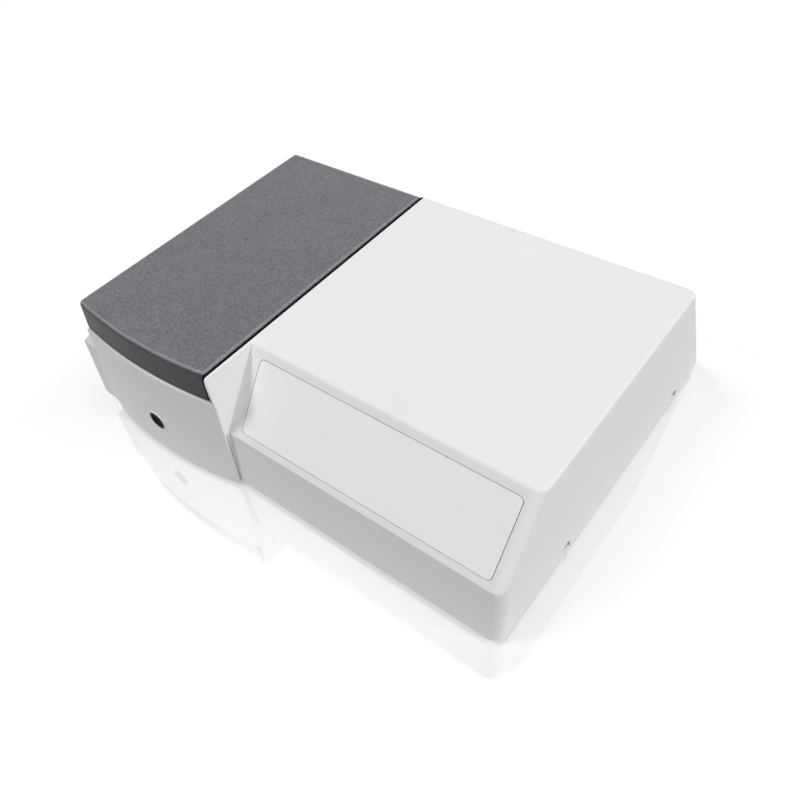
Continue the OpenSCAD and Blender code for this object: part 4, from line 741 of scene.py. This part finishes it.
def left_section(name, outline, depth, left, right_end, rear_gap):
    loaf = prism(name, outline, -230, 230, LENGTHWISE)
    left_r, right_r = max(1.6 - depth, 0.4), 1.5
    rings = [[Vector((p.x, p.y, z)) for p in wall_plan(z, depth, left, right_end, left_r, right_r)]
             for z in (-20, 120)]
    loaf = carve(loaf, loft("wall_tool", rings), "INTERSECT")
    slope = rear_gap / math.cos(LEAN)
    rear = [(-FAR, -20), (REAR_FOOT - rear_gap, -20), (REAR_FOOT - rear_gap, BASE),
            (REAR - rear_gap, FOOT_TOP), (rear_at(115) - slope, 115), (-FAR, 115)]
    return carve(loaf, prism("rear_tool", rear, LEFT - 9, CHEEK_1 + 9, ACROSS), "INTERSECT")


front_outline = rounded([(LID_0 + 8, BASE + 0.02, 0.8), (CHEEK_1 + 0.4, BASE + 0.02, 0),
                         (CHEEK_1 + 0.4, RIM, 0), (LID_0, RIM, 0.8), (LEFT + 6.5, 87.5, 8),
                         (LEFT, 78.5, 5), (LEFT, 14.4, 6.5), (LID_0 + 8, 15.0, 5)])
left_block = left_section("left_block", front_outline, 0, LEFT, CHEEK_1, 0.02)

# The small facet above the shoulder of the bulge is a cut at 45 degrees
FACET_Z, FACET_RUN = 78.0, 36
facet_y = wall_front(LID_0, FACET_Z) - 0.8
facet = [(-FAR, FACET_Z), (facet_y, FACET_Z), (facet_y + FACET_RUN, FACET_Z + FACET_RUN),
         (-FAR, FACET_Z + FACET_RUN)]
left_block = carve(left_block, prism("facet_tool", facet, LEFT - 5, LID_0 - 0.3, ACROSS))
print("left section:", len(left_block.data.polygons), "faces")

# %% [markdown]
# The three solids are joined, and then everything that is a hole or a hollow is cut: the inside,
# the way from one section to the other, the opening for the sample well and the shallow pocket for
# the label. Booleans suit this, because the openings are then true holes in one closed moulding.

# %% Join and hollow the case
case = carve(case, cheek, "UNION")
case = carve(case, left_block, "UNION")
case = carve(case, right_section("hollow_right", WALL, CHEEK_1, (0, 0, 0, 0, 0, 0)))
inner = inset(side_outline, WALL)
open_front, open_rear, open_end = inner[0][0] + 4, inner[1][0] - 2, RIGHT - DRAFT - WALL - 4
underside = [(CHEEK_1, open_front), (open_end, open_front), (open_end, open_rear), (CHEEK_1, open_rear)]
case = carve(case, prism("open_right", underside, BASE - 1, BASE + 6))
hollow = [(LID_0 + 11, 3), (CHEEK_0, 3), (CHEEK_0, RIM - 3), (LID_0 + 3, RIM - 3), (LID_0 + 3, 77),
          (LEFT + 3, 72), (LEFT + 3, 21.4), (LEFT + 7, 17.4), (LID_0 + 11, 17.4)]
case = carve(case, left_section("hollow_left", hollow, WALL, LEFT + 3, CHEEK_0, WALL))
way = [(inner[0][0], 3), (inner[1][0], 3), (inner[2][0], FOOT_TOP), (rear_at(RIM - 3) - 3.5, RIM - 3),
       (inner[5][0] + 46, RIM - 3), inner[5]]
case = carve(case, prism("way_tool", way, CHEEK_0 - 1, CHEEK_1 + 1, ACROSS))
print("hollow case:", len(case.data.polygons), "faces")

# %% Well and label place
WELL = (-113.0, -62.261)
case = carve(case, prism("well_tool", round_plate(117.6, 150.6, 8, *WELL), RIM - 4, RIM + 1))
on_slant = Matrix.Translation((0, FOLD_Y, FOLD_Z)) @ Matrix.Rotation(SLANT_TILT, 4, "X")
label_low, label_high = (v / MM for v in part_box("label_panel"))
label_width = label_high.x - label_low.x
LABEL_RUN, LABEL_GAP, LABEL_R = 79.63, 0.7, 4
label_size = (label_width, LABEL_RUN * 0.795)
label_mid = ((label_low.x + label_high.x) / 2, LABEL_RUN * 0.4825)


def label_plate(grown, low, high):
    plate = round_plate(label_size[0] + 2 * grown, label_size[1] + 2 * grown, LABEL_R + grown, *label_mid)
    return prism("label_tool", plate, low, high, on_slant)


case = carve(case, label_plate(LABEL_GAP, -0.8, 1))
# A groove round the film, deeper than the pocket, gives the thin dark line of its edge
case = carve(case, carve(label_plate(LABEL_GAP, -2, 1), label_plate(0, -3, 2)))
print("case with the label place:", len(case.data.polygons), "faces")

# %% [markdown]
# A shallow groove runs down where the left section ends against the front wall, as where two
# halves of a mould meet. Each side screw sits in a notch: a round arch that is open at the foot.

# %% Groove, button hole and notches
groove = [(MAIN - 0.9, 4), (MAIN - 0.01, 4), (MAIN - 0.01, 66.5), (MAIN - 0.9, 66)]
case = carve(case, prism("groove_tool", groove, CHEEK_1 - 2.2, CHEEK_1 + 0.01, ACROSS))


def ring_points(radius, x=0.0, y=0.0, count=48):
    return [(x + radius * math.cos(math.tau * k / count), y + radius * math.sin(math.tau * k / count))
            for k in range(count)]


BUTTON, BUTTON_HOLE_R = (-122.0, 41.5), 7.6
case = carve(case, prism("button_tool", ring_points(BUTTON_HOLE_R, *BUTTON, 64), 165, 190, LENGTHWISE))
NOTCH_R, NOTCH_Z, NOTCH_RUN = 5.2, 10, 9.2
for y in (-70.739, 123.261):
    for x in (RIGHT - DRAFT - WALL - 0.4, LID_0 + 3):
        arch = ring_points(NOTCH_R, y, NOTCH_Z, 40)
        case = carve(case, prism("notch_tool", arch, x, x + NOTCH_RUN, ACROSS))
        half = NOTCH_R - 0.01
        slot = [(y - half, 3), (y + half, 3), (y + half, NOTCH_Z + 0.01), (y - half, NOTCH_Z + 0.01)]
        case = carve(case, prism("slot_tool", slot, x, x + NOTCH_RUN, ACROSS))
print("case with its notches:", len(case.data.polygons), "faces")

# %% [markdown]
# The rear wall leans, so its openings are drawn flat and then laid on it by one matrix: a window
# for the panel with the sockets, and screw holes for the panel and for the fixed hinge leaves.

# %% Openings at the rear
def on_rear(x, z):
    return (Matrix.Translation((x, rear_at(z), z)) @ Matrix.Rotation(LEAN - math.pi / 2, 4, "X")
            @ Matrix.Rotation(math.pi, 4, "Z"))


PANEL = on_rear(87.9, BASE + 6 + 64 * math.cos(LEAN))
THREAD_R, HINGE_Z = 1.55, (SKIRT + RIM) / 2
HINGE_XS = (LID_MID - 46, LID_MID + 46)


def drill(made, x, y, place):
    return carve(made, prism("screw_tool", ring_points(THREAD_R, x, y, 20), -6, 3, place))


case = carve(case, prism("window_tool", round_plate(182, 58, 2), -9, 3, PANEL))
for x, y in ((-94.5, -32.5), (-94.5, 32.5), (94.5, -32.5), (94.5, 32.5)):
    case = drill(case, x, y, PANEL)
for x in HINGE_XS:
    for side in (-11, 11):
        case = drill(case, side, -12, on_rear(x, HINGE_Z))
print("case with its openings:", len(case.data.polygons), "faces")

# %% [markdown]
# The last small radii are bevels. Only the edges that the eye meets get one, each with its own
# weight, because the bevel's width is one number that the weight scales. Faces then shade smooth
# except across sharp edges, and weighted normals keep the large flat faces flat. Two helpers
# finish every piece: one scales it to metres and gives it its finish and body, and one adds
# the bevel and hides the imported node that it stands for, whose finish it takes.

# %% Small radii and shading
def weigh(mesh, rule):
    bm = bmesh.new()
    bm.from_mesh(mesh)
    bmesh.ops.remove_doubles(bm, verts=bm.verts, dist=0.0005)
    bmesh.ops.dissolve_limit(bm, angle_limit=math.radians(0.3), verts=bm.verts, edges=bm.edges)
    layers = bm.edges.layers.float
    layer = layers.get("bevel_weight_edge") or layers.new("bevel_weight_edge")
    count = 0
    for edge in bm.edges:
        if len(edge.link_faces) == 2 and edge.calc_face_angle(0) > math.radians(28):
            edge[layer] = rule((edge.verts[0].co + edge.verts[1].co) / 2)
            count += edge[layer] > 0
    broken = sum(1 for e in bm.edges if not e.is_manifold)
    bm.to_mesh(mesh)
    bm.free()
    print("edges to soften:", count, "open edges:", broken)


def settle(made, body, looks):
    made.data.transform(Matrix.Scale(MM, 4))
    made.data.shade_smooth()
    made.data.set_sharp_from_angle(angle=math.radians(32))
    made.data.materials.clear()
    made.data.materials.append(looks)
    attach(made, body)
    return made


def dress(made, body, node, width=0.8):
    if width:
        bevel = made.modifiers.new("small_radii", "BEVEL")
        bevel.width = width * MM
        bevel.segments = 3
        bevel.limit_method = "WEIGHT"
        bevel.use_clamp_overlap = True
    made.modifiers.new("flat_faces", "WEIGHTED_NORMAL").keep_sharp = True
    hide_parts(node)
    return settle(made, body, FINISHES[node])


def case_rule(p):
    if p.x > CHEEK_1 - 2.6 and p.y > MAIN - 3 and p.z < FOLD_Z:
        return 0.0
    outside = p.y < wall_front(max(p.x, LEFT), min(p.z, RIM)) + 2.5 and p.x < CHEEK_1 + 0.1
    if math.hypot(p.x - BUTTON[0], p.z - BUTTON[1]) < BUTTON_HOLE_R + 0.2 and p.y < -160:
        return 1.0 if outside else 0.0
    if p.z > RIM - 1 and outside and p.x < CHEEK_0:
        return 0.45
    if p.x < CHEEK_1 + 0.1 and (outside or p.x < LID_0 + 0.2) and p.z > BASE - 0.5:
        return 0.8
    return 0.0


weigh(case.data, case_rule)
case = dress(case, "case", "cover")
print("case dressed, bevels of up to 0.8 mm")

# %% [markdown]
# The lid is a hull of level outlines, each set in by the rolled top edge. Its front follows the
# same curve as the rim below it, a little farther back. The corner at the cheek is rounder than
# the one at the far left.

# %% Plan of the lid
LEDGE, LID_LEAN, LID_ROLL, REAR_R = 2.0, 0.031, 4, 1.5


def lid_plan(z, depth):
    front = FRONT + RIM_BACK + LEDGE + LID_LEAN * (z - RIM)
    far = front + RIM_ARC
    share = (z - SKIRT) / (TOP - SKIRT)
    left_r, right_r = 1.2 + 3.8 * share, 5.5 - 2.0 * share
    points = []
    for x_side, radius in ((-1, left_r), (1, right_r)):
        centre_x = LID_0 + radius if x_side < 0 else LID_END - radius
        lean_a = math.asin((centre_x - RIM_MID) / (RIM_ARC - radius))
        centre = Vector((RIM_MID + (RIM_ARC - radius) * math.sin(lean_a),
                         far - (RIM_ARC - radius) * math.cos(lean_a)))
        small = max(radius - depth, 0.25)
        shift = max(depth - radius + 0.25, 0)
        middle = 270 + math.degrees(lean_a)
        a0, a1 = (180, middle) if x_side < 0 else (middle, 360)
        for k in range(9):
            a = math.radians(a0 + (a1 - a0) * k / 8)
            points.append((centre.x - x_side * shift + small * math.cos(a),
                           centre.y + shift + small * math.sin(a)))
        if x_side < 0:
            lean_b = math.asin((LID_END - right_r - RIM_MID) / (RIM_ARC - right_r))
            for k in range(1, 40):
                a = lean_a + (lean_b - lean_a) * k / 40
                points.append((RIM_MID + (RIM_ARC - depth) * math.sin(a),
                               far - (RIM_ARC - depth) * math.cos(a)))
    back = rear_at(z) - depth / math.cos(LEAN)
    for k in range(5):
        a = math.radians(22.5 * k)
        points.append((LID_END - depth - REAR_R * (1 - math.cos(a)),
                       back - REAR_R + REAR_R * math.sin(a)))
    for k in range(5):
        a = math.radians(22.5 * k)
        points.append((LID_0 + depth + REAR_R * (1 - math.sin(a)), back - REAR_R * (1 - math.cos(a))))
    return [Vector((x, y, z)) for x, y in points]


print("points in one outline of the lid:", len(lid_plan(SKIRT, 0)))

# %% Lid
shape = lid_plan(SKIRT, 0.4) + lid_plan(SKIRT + 0.12, 0.12) + lid_plan(SKIRT + 0.4, 0)
for k in range(9):
    a = math.radians(90 * k / 8)
    shape += lid_plan(TOP - LID_ROLL * (1 - math.sin(a)), LID_ROLL * (1 - math.cos(a)))
lid = hull("lid_shell", shape)
room_in = lid_plan(SKIRT - 2, 2.8) + lid_plan(TOP - 4.8, 2.8) + lid_plan(TOP - 2.8, 4.8)
lid = carve(lid, hull("lid_hollow", room_in))
for x in HINGE_XS:
    for side in (-11, 11):
        lid = drill(lid, side, 12, on_rear(x, HINGE_Z))
weigh(lid.data, lambda p: 0.0)
lid = dress(lid, "lid", "lid", width=0)
print("lid:", len(lid.data.polygons), "faces")

# %% [markdown]
# A black strip in the gap between the lid and the right section is painted shade: it stands in
# for the dark of that narrow gap, where little light reaches. From outside only its edge shows, as
# the black line along the lid. It is a band that follows the side outline half a millimetre below
# the cheek's edge: one prism with another cut out of it.

# %% Black strip as painted shade in the gap
def band_outline(depth):
    foot, top, slope = RIM + 1, TOP - depth, depth / math.cos(LEAN)
    front_edge = [(y + depth, z - depth * 0.4) for y, z in cheek_outline[4:] if z > foot]
    return [(rear_at(foot) - slope, foot), (rear_at(top) - slope, top),
            (FRONT + 13 + depth, top)] + front_edge + [(FRONT + 10.2 + depth, foot)]


gap_shade = prism("painted_gap_shade", band_outline(0.5), CHEEK_0 - 1.7, CHEEK_0 + 1.2, ACROSS)
lower = [(y, z - 0.5) for y, z in band_outline(6.5)]
gap_shade = carve(gap_shade, prism("gap_shade_core", lower, CHEEK_0 - 3, CHEEK_0 + 1, ACROSS))
gap_shade = settle(gap_shade, "case", gap_shade_black)
print("light strip:", [round(s / MM, 1) for s in gap_shade.dimensions], "mm")

# %% [markdown]
# The button sits in a black flange with a thin pale lip round it. The lip stands a fraction of a
# millimetre proud of the wall, so its soft edge catches the light as a ring. Both are short tubes
# with a small bevel.

# %% Lip and flange of the button
TUBE_FOOT = 178.9


def tube(name, outer, inner, reach, looks):
    made = prism(name, ring_points(outer, *BUTTON, 64), TUBE_FOOT, reach, LENGTHWISE)
    bore = prism("bore", ring_points(inner, *BUTTON, 64), TUBE_FOOT - 1, reach + 1, LENGTHWISE)
    made = carve(made, bore)
    soft = made.modifiers.new("soft_edges", "BEVEL")
    soft.width, soft.segments, soft.angle_limit = 0.3 * MM, 3, math.radians(40)
    return settle(made, "case", looks)


tube("button_lip", 9.9, 9.0, 180.6, abs_white)
tube("button_flange", 9.05, 6.6, 180.45, nylon_black)
print("lip and flange round the button, wall at", round(wall_front(*BUTTON), 2))

# %% [markdown]
# Last, the view is set to the Standard transform.

# %% Standard view transform
scene.view_settings.view_transform = "Standard"
